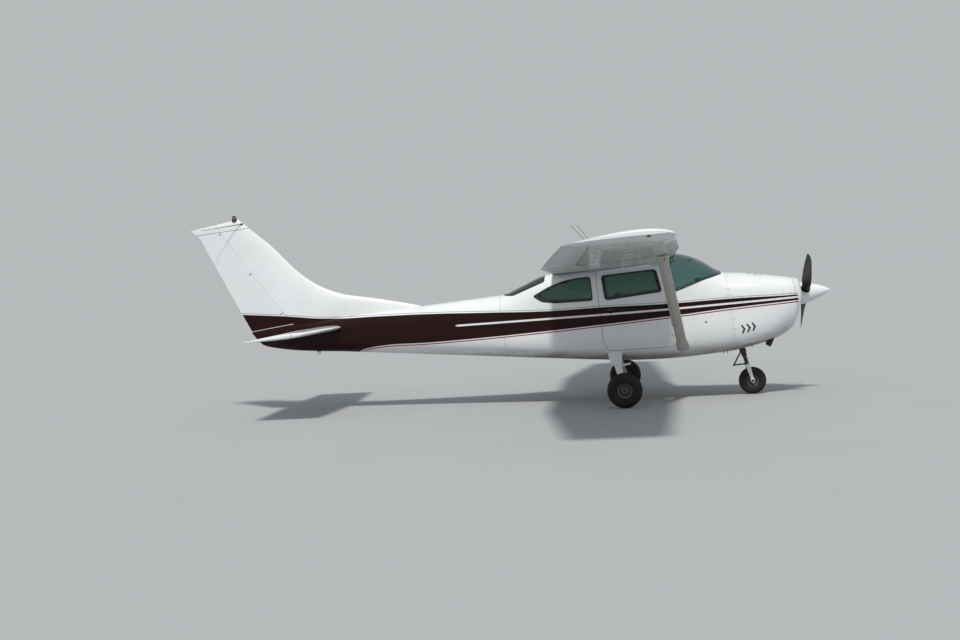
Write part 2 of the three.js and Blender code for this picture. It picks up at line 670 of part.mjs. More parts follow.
// The panel with its hood, and both control wheels on their shafts.
function instrumentPanel() {
  const hood = [
    [-1425, 1560], [-1425, 1600], [-1690, 1634], [-1712, 1610], [-1712, 1330], [-1676, 1330], [-1676, 1590],
  ];
  const inside = fuselage(-1400, -2000, WALL + SEAM);
  let panel = slab(hood, -520, 520).intersect(inside);
  const { z, back, front, halfWidth, grip, top } = CONTROL_WHEEL;
  for (const y of [-CONTROL_WHEEL.y, CONTROL_WHEEL.y]) {
    const shaft = bar(point(-1700, y, z), point(front - 8, y, z), 12, 12);
    const bridge = box([back, y - halfWidth, z - 15], [front, y + halfWidth, z + 15]);
    const grips = [y - halfWidth, y + halfWidth].map((gripY) =>
      box([back, gripY - grip, z - 15], [front, gripY + grip, top]),
    );
    panel = join(panel, shaft, bridge, ...grips);
  }
  return panel;
}

// A seat's cushion and back in one outline. Columns: x, z
const FRONT_SEAT = [
  [-2270, 1000], [-2270, 1115], [-2300, 1130], [-2640, 1105], [-2745, 1590], [-2775, 1612], [-2840, 1600],
  [-2855, 1560], [-2760, 1060], [-2740, 1000],
];
const REAR_SEAT = [
  [-3100, 985], [-3100, 1085], [-3125, 1100], [-3470, 1085], [-3580, 1530], [-3610, 1550], [-3665, 1540],
  [-3680, 1500], [-3590, 1040], [-3570, 985],
];

const seat = (outline, middleY, halfWidth) => slab(outline, middleY - halfWidth, middleY + halfWidth, 12);

// Nose

const CRANK_HOLE_RADIUS = 95;
const INTAKE = { y: 225, z: PROP_AXIS_Z + 25, halfWidth: 92, halfHeight: 62 };
const COWL_FLAP = { front: -1130, back: -1346, inner: 85, outer: 310 };
const COWL_FLAP_KNUCKLE = { radius: 9, length: 24 };
const OIL_DOOR = { front: -900, back: -1060, inner: -110, outer: -290 };
const OIL_DOOR_KNUCKLE = { radius: 6, length: 22 };
const EXHAUST = { x: -885, y: -225, radius: 38 };
const COWL_SPLIT = [[-380, 1246], [-1380, 1296]]; // where the upper and lower cowls meet

// The front of the cowl, with the hole for the engine's shaft and an intake on each side of it.
function bowl() {
  const [from, to] = [COWL_FRONT + 25, BOWL_BACK - 20];
  const hollow = fuselage(COWL_FRONT - SKIN, BOWL_BACK - 1, SKIN);
  const crankHole = bar(point(from, 0, PROP_AXIS_Z), point(to, 0, PROP_AXIS_Z), CRANK_HOLE_RADIUS, 24);
  const intake = (side) => {
    const outline = new THREE.Shape();
    outline.absellipse(side * INTAKE.y, INTAKE.z, INTAKE.halfWidth, INTAKE.halfHeight, 0, 2 * Math.PI);
    const options = { depth: 130, bevelEnabled: false, curveSegments: 10 };
    const geometry = new THREE.ExtrudeGeometry(outline, options);
    return toSolid(geometry.rotateX(Math.PI / 2).rotateZ(Math.PI / 2).translate(BOWL_BACK, 0, 0));
  };
  return cut(fuselage(COWL_FRONT, BOWL_BACK), hollow, crankHole, intake(1), intake(-1));
}

// The height of the fuselage's upper surface at a station, a distance from the middle plane.
function surfaceZ(x, y) {
  const [, top, , halfWidth, widest, power] = sectionAt(x);
  return widest + (top - widest) * (1 - (Math.abs(y) / halfWidth) ** power) ** (1 / power);
}

function cowls() {
  const skin = shell(BOWL_BACK - SEAM, COWL_BACK, SKIN);
  const [front, back] = COWL_SPLIT;
  const [low, high, wide] = [300, 2000, 900];
  const above = slab([front, back, [back[0], high], [front[0], high]], -wide, wide);
  const underSeam = [[back[0], back[1] - SEAM], [front[0], front[1] - SEAM]];
  const below = slab([[front[0], low], [back[0], low], ...underSeam], -wide, wide);
  let upper = skin.intersect(above);
  let lower = skin.intersect(below);
  const strutTunnel = box([-1400, -62, 560], [-1170, 62, 760]);
  const pipeHoleTop = point(EXHAUST.x + 45, EXHAUST.y, 800);
  const pipeHole = bar(pipeHoleTop, point(EXHAUST.x - 55, EXHAUST.y, 600), EXHAUST.radius + 14, 20);
  lower = cut(lower, strutTunnel, pipeHole);

  const { front: flapFront, back: flapBack, inner, outer } = COWL_FLAP;
  const flapBox = (grow, side) => {
    const ys = [side * (inner - grow), side * (outer + grow)].sort((a, b) => a - b);
    return box([flapBack - 60 * (grow > 0), ys[0], 400], [flapFront + grow, ys[1], 760]);
  };
  const flapZ = sectionAt(flapFront)[2] + 1;
  const flapFoot = point(flapFront + 3, 0, flapZ);
  let portFlap = lower.intersect(flapBox(0, 1));
  lower = cut(lower, flapBox(MOVING_GAP, 1), flapBox(MOVING_GAP, -1));
  const hingeYs = [inner + 35, inner + 95];
  let other = portFlap;
  const across = point(0, 1, 0);
  [lower, portFlap] = knuckles(lower, portFlap, flapFoot, across, hingeYs, COWL_FLAP_KNUCKLE);
  let turnedLower = mirrored(lower);
  [turnedLower, other] = knuckles(turnedLower, other, flapFoot, across, hingeYs, COWL_FLAP_KNUCKLE);
  lower = mirrored(turnedLower);

  const lid = (grow) => {
    const { front: lidFront, back: lidBack, inner: lidInner, outer: lidOuter } = OIL_DOOR;
    return box([lidBack - grow, lidOuter - grow, 1300], [lidFront + grow, lidInner + grow, 1700]);
  };
  let oilDoor = upper.intersect(lid(0));
  upper = cut(upper, lid(MOVING_GAP - 1));
  const [hingeFoot, hingeEnd] = [OIL_DOOR.front, OIL_DOOR.back].map((x) =>
    point(x, OIL_DOOR.inner + 2.5, surfaceZ(x, OIL_DOOR.inner) - 1),
  );
  const along = hingeEnd.clone().sub(hingeFoot).normalize();
  [upper, oilDoor] = knuckles(upper, oilDoor, hingeFoot, along, [45, 125], OIL_DOOR_KNUCKLE);
  return { upper, lower, portFlap, starboardFlap: mirrored(other), oilDoor };
}

const firewall = () => fuselage(FIREWALL_FRONT, CABIN_FRONT + SEAM, SKIN + SEAM);

function engine() {
  const blocks = ENGINE.map(([front, back, halfWidth, bottom, top]) =>
    box([back, -halfWidth, bottom], [front, halfWidth, top]),
  );
  const nose = box([ENGINE[0][0] - 10, -110, PROP_AXIS_Z - 130], [-470, 110, PROP_AXIS_Z + 110]);
  const crank = bar(point(-480, 0, PROP_AXIS_Z), point(HUB_BACK - SEAM, 0, PROP_AXIS_Z), 54, 24);
  const feet = [];
  for (const y of [-300, 300]) {
    for (const z of [1090, 1360]) {
      feet.push(bar(point(ENGINE[0][1] + 5, y, z), point(FIREWALL_FRONT + SEAM, y, z), 18, 12));
    }
  }
  return join(...blocks, nose, crank, ...feet);
}

function exhaustPipe() {
  const { x, y, radius } = EXHAUST;
  const route = new THREE.CatmullRomCurve3([
    point(x + 35, y, ENGINE[2][3] - 2 * SEAM),
    point(x + 35, y, 800),
    point(x + 8, y, 705),
    point(x - 40, y, 628),
  ]);
  const ring = new THREE.Shape().absarc(0, 0, radius, 0, 2 * Math.PI);
  ring.holes.push(new THREE.Path().absarc(0, 0, radius - 5, 0, 2 * Math.PI));
  const options = { steps: 4, extrudePath: route, curveSegments: 6 };
  return toSolid(new THREE.ExtrudeGeometry(ring, options));
}

// Propeller

function propeller() {
  const rings = BLADE.map(([radius, chord, thickness, pitch]) => {
    const angle = THREE.MathUtils.degToRad(pitch);
    return streamline(chord, thickness, 10).map(([along, across]) =>
      point(
        along * Math.sin(angle) + across * Math.cos(angle),
        -along * Math.cos(angle) + across * Math.sin(angle),
        radius,
      ),
    );
  });
  const blade = loft(rings);
  const hub = bar(point(HUB_BACK - PROP_PLANE_X, 0, 0), point(40, 0, 0), 74, 20);
  const other = toSolid(toGeometry(blade).rotateX(Math.PI));
  const whole = toGeometry(join(hub, blade, other));
  return toSolid(whole.rotateX(Math.PI / 2 - PROP_TURN).translate(PROP_PLANE_X, 0, PROP_AXIS_Z));
}

function spinner() {
  const inside = SPINNER.slice(1).map(([radius, x]) => [radius - SPINNER_SKIN, x]);
  const floor = SPINNER.at(-1)[1];
  const shaftHole = 60;
  const profile = [
    ...SPINNER, [shaftHole, floor], [shaftHole, floor + SPINNER_SKIN],
    [inside.at(-1)[0], floor + SPINNER_SKIN], ...inside.slice(0, -1).reverse(), [0, -14],
  ];
  const cone = turned(profile, "x", [0, 0, PROP_AXIS_Z], 20);
  const room = (angle) =>
    toSolid(new THREE.BoxGeometry(124, 130, 400).translate(0, 0, 200).rotateX(angle)
      .translate(PROP_PLANE_X, 0, PROP_AXIS_Z));
  const start = Math.PI / 2 - PROP_TURN;
  return cut(cone, room(start), room(start + Math.PI));
}

// Wheels

function tyre({ radius: flatRadius, width, rim }, centre) {
  const radius = flatRadius / Math.cos(Math.PI / WHEEL_SIDES);
  const half = width / 2;
  const bulge = (radius - rim) / 2;
  const oneSide = [
    [rim, half * 0.62], [rim + bulge * 0.7, half], [radius - bulge * 0.5, half * 0.9], [radius, half * 0.4],
  ];
  const otherSide = oneSide.map(([r, y]) => [r, -y]);
  const profile = [...otherSide, ...oneSide.toReversed(), otherSide[0]];
  return turned(profile, "y", centre, WHEEL_SIDES, WHEEL_TURN);
}

function hub({ width, rim }, boreRadius, centre, hubWidth) {
  const half = width / 2;
  const flange = half * 0.62;
  const profile = [
    [boreRadius, -hubWidth / 2], [boreRadius + 22, -hubWidth / 2], [rim - 14, -half * 0.3],
    [rim - SEAM, -flange], [rim - SEAM, flange], [rim - 14, half * 0.3],
    [boreRadius + 22, hubWidth / 2], [boreRadius, hubWidth / 2], [boreRadius, -hubWidth / 2],
  ];
  return turned(profile, "y", centre, WHEEL_SIDES, WHEEL_TURN);
}

// The x and z of a point that stands a distance behind the nose tyre's foot, at a height over the ground.
function parked(behind, height) {
  const x = NOSE_FOOT_X - behind * Math.cos(ATTITUDE) + height * Math.sin(ATTITUDE);
  return [x, behind * Math.sin(ATTITUDE) + height * Math.cos(ATTITUDE)];
}

const MAIN_WHEEL = parked(WHEEL_BASE, MAIN_TYRE.radius);
const NOSE_WHEEL = parked(0, NOSE_TYRE.radius);

function mainLeg() {
  const leg = cut(limb(LEG, 1, 10), fuselage(-2500, -3300, -SEAM));
  const [x, z] = MAIN_WHEEL;
  const inner = TRACK / 2 - MAIN_TYRE.width / 2;
  const flange = box([x - 40, inner - 42, z - 35], [x + 40, inner - 20, z + 62]);
  const axle = bar(point(x, inner - 30, z), point(x, TRACK / 2 + 62, z), AXLE_RADIUS, 24);
  const brake = bar(point(x, inner - 24, z), point(x, inner - 8, z), 60, 24);
  return join(leg, flange, axle, brake);
}

// Nose gear

// A point at a distance up the nose strut's line from the wheel's centre, and forward of that line.
function onStrut(up, forward = 0, y = 0) {
  const [sine, cosine] = [Math.sin(Math.atan(STRUT_LEAN)), Math.cos(Math.atan(STRUT_LEAN))];
  const [x, z] = NOSE_WHEEL;
  return point(x - up * sine + forward * cosine, y, z + up * cosine + forward * sine);
}

function noseStrut() {
  const tube = bar(onStrut(345), onStrut(720), 34, 18);
  const bore = bar(onStrut(330), onStrut(470), 27.2, 18);
  const collar = bar(onStrut(430), onStrut(455), 42, 18);
  const clamps = [600, 690].map((up) => {
    const at = onStrut(up);
    return box([FIREWALL_FRONT + SEAM, -38, at.z - 22], [at.x - 10, 38, at.z + 22]);
  });
  return join(cut(tube, bore), cut(collar, bore), ...clamps);
}

function noseFork() {
  const piston = bar(onStrut(214), onStrut(440), 26.5, 18);
  const crown = [-84, 84].map((y) => onStrut(214, 0, y));
  const bridge = bar(crown[0], crown[1], 24, 12);
  const arms = [-1, 1].map((side) => {
    const y = side * 79;
    const ring = (up, chord) =>
      streamline(chord, 16, 10).map(([along, across]) => onStrut(up, along, y + across));
    return loft([ring(-26, 34), ring(0, 52), ring(60, 40), ring(226, 60)]);
  });
  const axle = bar(point(NOSE_WHEEL[0], -96, NOSE_WHEEL[1]), point(NOSE_WHEEL[0], 96, NOSE_WHEEL[1]),
    NOSE_AXLE_RADIUS, 18);
  const link = (from, to) => [-18, 18].map((y) => {
    const sides = streamline(20, 10, 6);
    const along = (p) => sides.map(([a, b]) => onStrut(p[0] + a * 0.6, p[1] + a * 0.8, y + b));
    return loft([along(from), along(to)]);
  });
  const apex = [268, -172];
  const lowerLinks = link([238, -20], apex);
  const upperLinks = link(apex, [404, -38]);
  const pin = bar(onStrut(apex[0], apex[1], -30), onStrut(apex[0], apex[1], 30), 13, 10);
  const steeringRing = cut(
    bar(onStrut(396), onStrut(424), 46, 18),
    bar(onStrut(380), onStrut(450), 35.5, 18),
  );
  return join(piston, bridge, ...arms, axle, ...lowerLinks, ...upperLinks, pin, steeringRing);
}

// Tail

function tailCone(stabiliserSpace) {
  const outer = fuselage(CABIN_BACK - SEAM, TAIL_END);
  const inner = fuselage(CABIN_BACK + 1, -7400, TAIL_SKIN);
  const holeEnd = (y) => point(ELEVATOR_HINGE_X, y, TAILPLANE_Z);
  const tubeHole = bar(holeEnd(-300), holeEnd(300), ELEVATOR_TUBE_RADIUS + 8, 20);
  const tieDown = box([-7000, -12, 1345], [-6930, 12, 1378]);
  return join(cut(outer, inner, stabiliserSpace, tubeHole), tieDown);
}

function tailplaneRing(y, row, grow) {
  const [, leadingX, chord, ratio] = row;
  return aerofoil(chord, ratio, 0, 6).map(([behind, height]) => {
    const rise = height + Math.sign(height) * grow;
    return point(leadingX + grow - behind * (1 + (2 * grow) / chord), y, TAILPLANE_Z + rise);
  });
}

function tailplane(grow = 0) {
  const starboard = TAILPLANE.slice(1).reverse().map((row) => tailplaneRing(-row[0], row, grow));
  const port = TAILPLANE.map((row) => tailplaneRing(row[0], row, grow));
  return loft([...starboard, ...port]);
}

function elevatorFrame(fromY) {
  const at = (y) => point(ELEVATOR_HINGE_X, y, TAILPLANE_Z);
  return hingeFrame(at(fromY), at(TAILPLANE.at(-1)[0]), point(1, 0, 0));
}

function horizontalTail() {
  const whole = tailplane();
  const tipY = TAILPLANE.at(-1)[0];
  const rootRadius = mix(ELEVATOR_RADII[0], ELEVATOR_RADII[1], ELEVATOR_ROOT_Y / tipY);
  const space = surfaceCutter(elevatorFrame(0), ELEVATOR_RADII, MOVING_GAP);
  const port = surfaceCutter(elevatorFrame(ELEVATOR_ROOT_Y), [rootRadius, ELEVATOR_RADII[1]], 0);
  const hornSpace = box([-7100, HORN_Y - MOVING_GAP, 1500], [HORN_X + MOVING_GAP, 1900, 1800]);
  const horn = box([-7100, HORN_Y, 1500], [HORN_X, 1900, 1800]);
  const hinges = hingeArms(elevatorFrame(0), [0.18, 0.5, 0.84], 90, ELEVATOR_RADII[0]);
  const hollowRing = (y) => {
    const [, leadingX, chord, ratio] = mixRow(TAILPLANE[0], TAILPLANE[1], Math.abs(y) / TAILPLANE[1][0]);
    return innerAerofoil(chord, ratio, 0, 3 * PANEL).map(([behind, height]) =>
      point(leadingX - behind, y, TAILPLANE_Z + height),
    );
  };
  const hollowTip = HORN_Y - 3 * PANEL;
  const elevatorHollow = loft([ELEVATOR_ROOT_Y + PANEL, hollowTip].map(hollowRing))
    .intersect(surfaceCutter(elevatorFrame(0), ELEVATOR_RADII, -PANEL));
  const half = cut(join(whole.intersect(port), whole.intersect(horn)), elevatorHollow, ...hinges.slots);
  const tubeEnd = (y) => point(ELEVATOR_HINGE_X, y, TAILPLANE_Z);
  const tube = bar(tubeEnd(-225), tubeEnd(225), ELEVATOR_TUBE_RADIUS, 16);
  const bothHalves = (...parts) => [...parts, ...parts.map(mirrored)];
  const spar = surfaceCutter(elevatorFrame(0), ELEVATOR_RADII, MOVING_GAP + PANEL);
  const hollow = cut(loft([-hollowTip, 0, hollowTip].map(hollowRing)), ...bothHalves(spar));
  const vent = bar(point(-6760, 0, TAILPLANE_Z), point(-6760, 0, TAILPLANE_Z - 100), VENT_RADIUS, 6);
  const fixed = cut(whole, ...bothHalves(space, hornSpace), hollow, vent);
  const seam = surfaceCutter(elevatorFrame(0), ELEVATOR_RADII, MOVING_GAP - SEAM);
  return {
    stabiliser: join(fixed, ...bothHalves(...hinges.arms)),
    stabiliserSpace: cut(tailplane(SEAM), ...bothHalves(seam)),
    elevator: join(half, mirrored(half), tube),
  };
}

function verticalTail() {
  const ring = ([leadingX, leadingZ, trailingX, trailingZ, thickness], section) => {
    const chord = leadingX - trailingX;
    return section(chord, thickness / chord).map(([behind, height]) =>
      point(leadingX - behind, height, mix(leadingZ, trailingZ, behind / chord)),
    );
  };
  const whole = loft(FIN.map((row) => ring(row, (chord, ratio) => aerofoil(chord, ratio, 0, 6))));
  const hollowRows = [FIN[2], FIN[4], FIN[6], FIN[8]];
  const noseDistance = 160; // keeps the hollow behind the curved leading edge between its few rows
  const innerSection = (chord, ratio) => innerAerofoil(chord, ratio, 0, noseDistance);
  const inside = loft(hollowRows.map((row) => ring(row, innerSection)));
  const { foot, top } = RUDDER_HINGE;
  const frame = hingeFrame(point(foot[0], 0, foot[1]), point(top[0], 0, top[1]), point(1, 0, 0));
  const [front, back] = RUDDER_FOOT;
  const underRudder = [
    [front[0] + 200, front[1] + 9], [front[0] + 200, 1000],
    [back[0] - 300, 1000], [back[0] - 300, back[1] - 14],
  ];
  const hinges = hingeArms(frame, [0.1, 0.42, 0.74], 110, RUDDER_RADII[0]);
  const behindHinge = whole.intersect(surfaceCutter(frame, RUDDER_RADII, 0));
  const rudder = cut(behindHinge, slab(underRudder, -200, 200), ...hinges.slots);
  const spar = surfaceCutter(frame, RUDDER_RADII, MOVING_GAP + PANEL);
  const hollow = cut(inside, spar, fuselage(-4800, TAIL_END, -SEAM - PANEL));
  const vent = bar(point(-6500, 0, 2040), point(-6500, 0, 1700), VENT_RADIUS, 6);
  const rudderSpace = surfaceCutter(frame, RUDDER_RADII, MOVING_GAP);
  const fin = cut(whole, rudderSpace, fuselage(-4800, TAIL_END, -SEAM), hollow, vent);
  return { fin: join(fin, ...hinges.arms), rudder };
}

const BEACON_FOOT = { x: -7887, z: 3322 };

function beacon(finTop) {
  const profile = [[0, -8], [32, -8], [34, 22], [27, 52], [14, 68], [0, 72]];
  const points = profile.map(([radius, height]) => new THREE.Vector2(radius, height));
  const dome = new THREE.LatheGeometry(points, 16).rotateX(Math.PI / 2);
  return cut(toSolid(dome.translate(BEACON_FOOT.x, 0, BEACON_FOOT.z)), moved(finTop, 0, 0, SEAM));
}

// Assembly

const aircraft = new THREE.Group();

function add(name, solid, material) {
  const mesh = new THREE.Mesh(toGeometry(solid), material);
  mesh.name = name;
  aircraft.add(mesh);
}

const { cabin, door, baggage } = cabinParts();
const { upper, lower, portFlap, starboardFlap, oilDoor } = cowls();
const { wing, flap, aileron } = portWing();
const { stabiliser, elevator, stabiliserSpace } = horizontalTail();
const { fin, rudder } = verticalTail();
const strut = strutPiece();
const leg = mainLeg();
const [mainX, mainZ] = MAIN_WHEEL;
const [noseX, noseZ] = NOSE_WHEEL;

add("nose_bowl", bowl(), paint(WHITE));
add("upper_cowl", upper, paint(WHITE));
add("lower_cowl", lower, paint(WHITE));
add("oil_door", oilDoor, paint(WHITE));
add("cowl_flap_left", portFlap, paint(WHITE));
add("cowl_flap_right", starboardFlap, paint(WHITE));
add("firewall", firewall(), paint(STEEL, 0.4, 1));
add("engine", engine(), paint(BLACK, 0.6, 0.5));
add("exhaust_pipe", exhaustPipe(), paint(STEEL, 0.6, 1));
add("cabin_shell", cabin, paint(WHITE));
add("cabin_floor", cabinFloor(), paint(TRIM, 0.8));
add("instrument_panel", instrumentPanel(), paint(BLACK, 0.7));
add("cabin_roof", cabinRoof(), paint(WHITE));
add("tail_cone", tailCone(stabiliserSpace), paint(MAROON));
add("fin", fin, paint(WHITE));
add("rudder", rudder, paint(WHITE));
add("stabiliser", stabiliser, paint(WHITE));
add("elevator", elevator, paint(WHITE));
add("beacon", beacon(fin), paint(RED, 0.2));
for (const [name, outline] of [["windshield", WINDSHIELD], ["rear_window", REAR_WINDOW]]) {
  const pane = windowPane(outline, -HALF_WIDTHS_OUT, HALF_WIDTHS_OUT, WINDSCREEN_CORNER);
  add(name, pane, paint(GLAZING, 0.05));
}
add("rear_seat", seat(REAR_SEAT, 0, 430), paint(CLOTH, 0.9));
add("propeller", propeller(), paint(BLACK, 0.45));
add("spinner", spinner(), paint(WHITE));
add("nose_strut", noseStrut(), paint(BLACK, 0.5, 0.6));
add("nose_fork", noseFork(), paint(WHITE));
add("nose_tyre", tyre(NOSE_TYRE, [noseX, 0, noseZ]), paint(RUBBER, 0.9));
add("nose_hub", hub(NOSE_TYRE, NOSE_AXLE_RADIUS + AXLE_PLAY, [noseX, 0, noseZ], 140), paint(ALLOY, 0.4, 1));

const sides = [["left", 1, (solid) => solid], ["right", -1, mirrored]];
for (const [side, sign, place] of sides) {
  add("wing_" + side, place(wing), paint(WHITE));
  add("flap_" + side, place(flap), paint(WHITE));
  add("aileron_" + side, place(aileron), paint(WHITE));
  add("wing_strut_" + side, place(strut), paint(CREAM));
  add("main_leg_" + side, place(leg), paint(WHITE));
  add("main_tyre_" + side, place(tyre(MAIN_TYRE, [mainX, TRACK / 2, mainZ])), paint(RUBBER, 0.9));
  const mainHub = hub(MAIN_TYRE, AXLE_RADIUS + AXLE_PLAY, [mainX, TRACK / 2, mainZ], 150);
  add("main_hub_" + side, place(mainHub), paint(ALLOY, 0.4, 1));
  add("door_" + side, place(door), paint(WHITE));
  const doorGlass = windowPane(DOOR_WINDOW, INSIDE_Y, HALF_WIDTHS_OUT, DOOR_WINDOW_CORNER);
  add("door_glass_" + side, place(doorGlass), paint(GLAZING, 0.05));
  const sideGlass = windowPane(SIDE_WINDOW, INSIDE_Y, HALF_WIDTHS_OUT, SIDE_WINDOW_CORNER);
  add("side_window_" + side, place(sideGlass), paint(GLAZING, 0.05));
  add("front_seat_" + side, seat(FRONT_SEAT, sign * 262, 212), paint(CLOTH, 0.9));
}
add("baggage_door", baggage, paint(WHITE));

// The parked stance: nose up about the nose tyre's foot, then forward so that the box is centred.
aircraft.rotation.y = -ATTITUDE;
aircraft.position.z = -NOSE_FOOT_X * Math.sin(ATTITUDE);
const extent = new THREE.Box3().setFromObject(aircraft, true);
aircraft.position.x = -(extent.min.x + extent.max.x) / 2;

export default aircraft;
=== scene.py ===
"""Looks of a single-engined high-wing light aircraft that stands on its nose-wheel undercarriage.

The tables are in aircraft axes: x runs forward from the spinner's tip, so it is negative, y runs to
port and z up. Lengths are in metres, and in millimetres where MM follows. Every mesh is made in those
axes, and place() turns it to the parked attitude of the object's own frame.
"""

import bmesh
import bpy
import math
import numpy as np
from mathutils import Matrix, Vector


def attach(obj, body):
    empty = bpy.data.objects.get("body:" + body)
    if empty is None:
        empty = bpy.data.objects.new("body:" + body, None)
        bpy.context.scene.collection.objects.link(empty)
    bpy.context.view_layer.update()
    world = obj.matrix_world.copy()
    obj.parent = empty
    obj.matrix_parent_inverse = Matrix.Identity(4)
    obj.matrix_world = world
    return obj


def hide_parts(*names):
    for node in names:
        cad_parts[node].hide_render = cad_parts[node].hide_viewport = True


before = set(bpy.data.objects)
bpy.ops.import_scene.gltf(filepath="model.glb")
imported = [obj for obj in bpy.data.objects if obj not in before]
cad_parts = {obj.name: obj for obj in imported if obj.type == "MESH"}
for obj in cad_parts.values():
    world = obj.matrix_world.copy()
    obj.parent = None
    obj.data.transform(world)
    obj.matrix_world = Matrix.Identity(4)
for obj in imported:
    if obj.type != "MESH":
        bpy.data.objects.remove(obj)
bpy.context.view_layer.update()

MM = 0.001
ATTITUDE = 0.0938  # nose-up angle on the ground, radians
SHIFT = Vector((4.458737, 0.0, 0.110803))  # of the spinner's tip, in the object's frame
TO_FRAME = Matrix.Translation(SHIFT) @ Matrix.Rotation(-ATTITUDE, 4, "Y")

# Camera, at the photograph's viewing angle
CAMERA_AT = (1.714, -17.7201, 1.7717)
CAMERA_YAW, CAMERA_PITCH, CAMERA_ROLL = -0.1154, 0.0349, -0.0493
CAMERA_FOCAL = 1307.4  # in pixels of an image 960 wide
IMAGE_WIDTH = 960
SENSOR = 36.0
FARTHEST_SEEN = 400


def add_object(name, data):
    made = bpy.data.objects.new(name, data)
    bpy.context.scene.collection.objects.link(made)
    return made


def make_camera():
    forward = Vector((math.sin(CAMERA_YAW) * math.cos(CAMERA_PITCH),
                      math.cos(CAMERA_YAW) * math.cos(CAMERA_PITCH), -math.sin(CAMERA_PITCH)))
    level = Vector((math.cos(CAMERA_YAW), -math.sin(CAMERA_YAW), 0))
    upright = level.cross(forward)
    right = math.cos(CAMERA_ROLL) * level + math.sin(CAMERA_ROLL) * upright
    up = -math.sin(CAMERA_ROLL) * level + math.cos(CAMERA_ROLL) * upright
    data = bpy.data.cameras.new("camera")
    data.sensor_width = SENSOR
    data.lens = CAMERA_FOCAL * SENSOR / IMAGE_WIDTH
    data.clip_end = FARTHEST_SEEN
    camera = add_object("camera", data)
    camera.matrix_world = Matrix.Translation(CAMERA_AT) @ Matrix((right, up, -forward)).transposed().to_4x4()
    bpy.context.scene.camera = camera


make_camera()

# Fuselage sections. Columns: x, top, bottom, half width, height of the widest point, upper and lower powers
SECTIONS = np.array([
    [-405, 1395, 1150, 285, 1262, 2.6, 2.4], [-425, 1447, 1100, 345, 1262, 2.6, 2.4],
    [-470, 1466, 985, 385, 1255, 2.7, 2.4], [-540, 1486, 845, 418, 1245, 2.8, 2.5],
    [-680, 1522, 748, 455, 1230, 2.9, 2.6], [-935, 1584, 672, 498, 1215, 3.0, 3.4],
    [-1210, 1640, 636, 524, 1200, 3.1, 3.9], [-1354, 1664, 622, 534, 1200, 3.1, 4.0],
    [-1440, 1713, 618, 537, 1200, 3.0, 4.0], [-1654, 1881, 618, 549, 1200, 3.1, 4.0],
    [-1813, 1962, 619, 555, 1200, 3.7, 4.0], [-1940, 1998, 620, 558, 1200, 4.8, 4.0],
    [-2100, 1990, 625, 560, 1200, 6.0, 4.0], [-2573, 1975, 661, 560, 1200, 6.0, 4.0],
    [-3213, 1968, 751, 545, 1230, 5.6, 3.8], [-3690, 1962, 829, 508, 1270, 4.4, 3.6],
    [-4033, 1866, 883, 470, 1300, 3.6, 3.4], [-4340, 1778, 935, 434, 1330, 3.0, 3.2],
    [-5069, 1783, 1056, 358, 1400, 2.6, 2.8], [-5600, 1784, 1145, 302, 1450, 2.5, 2.6],
    [-6118, 1784, 1232, 248, 1500, 2.4, 2.5], [-6603, 1784, 1314, 198, 1550, 2.3, 2.4],
    [-6980, 1784, 1369, 155, 1590, 2.3, 2.4], [-7288, 1782, 1423, 120, 1620, 2.3, 2.3],
    [-7593, 1770, 1500, 82, 1650, 2.3, 2.3], [-7713, 1765, 1543, 66, 1665, 2.3, 2.3],
    [-7800, 1761, 1625, 50, 1700, 2.3, 2.3], [-7855, 1758, 1725, 32, 1742, 2.2, 2.2],
]) * ([MM] * 5 + [1, 1])
COWL_FRONT, BOWL_BACK, COWL_BACK = -405 * MM, -500 * MM, -1352 * MM
CABIN_FRONT, CABIN_BACK, TAIL_END = -1354 * MM, -4340 * MM, -7855 * MM
BOWL_EDGE_XS = np.array([-407, -410, -415, -421, -430, -440, -450, -470, -485]) * MM
PROP_AXIS_Z = 1242 * MM
PAINT_SKIN = 12 * MM  # thickness of the painted skin of the cabin and the doors
LINING = 34 * MM  # depth of the cabin's lining under the outer surface
CLEAR = 0.5 * MM  # between a piece and the surface that it ends on
QUARTER = 24  # points on a quarter of a fuselage ring
FINE = 300  # points from which the even ones are taken

# Side outlines. Columns: x, z
WINDSHIELD = np.array([[-1404, 1655], [-1660, 1606], [-2030, 1508], [-2078, 1790], [-2088, 1926],
                       [-1952, 2000], [-1400, 2100]]) * MM
REAR_WINDOW = np.array([[-3700, 2010], [-3712, 1880], [-4155, 1752], [-4288, 1772], [-4288, 1830]]) * MM
SIDE_WINDOW = np.array([[-3108, 1544], [-3104, 1856], [-3271, 1862], [-3459, 1848], [-3654, 1801],
                        [-3885, 1704], [-3774, 1616], [-3592, 1577]]) * MM
DOOR = np.array([[-2168, 1888], [-3024, 1896], [-3040, 985], [-2979, 861], [-2136, 801], [-2136, 1500]]) * MM
DOOR_WINDOW = np.array([[-2246, 1831], [-2954, 1846], [-2945, 1527], [-2207, 1537]]) * MM
BAGGAGE_DOOR = np.array([[-3790, 1500], [-4190, 1480], [-4190, 1130], [-3790, 1090]]) * MM
SHIELD_CORNER, SIDE_CORNER, DOOR_CORNER, DOOR_WINDOW_CORNER = 25 * MM, 40 * MM, 30 * MM, 45 * MM
OPENING_CORNER = 35 * MM
MOVING_GAP = 5 * MM
WITHIN, THROUGH = 0.2, 0.8  # half widths: inside a side wall, and past the whole fuselage

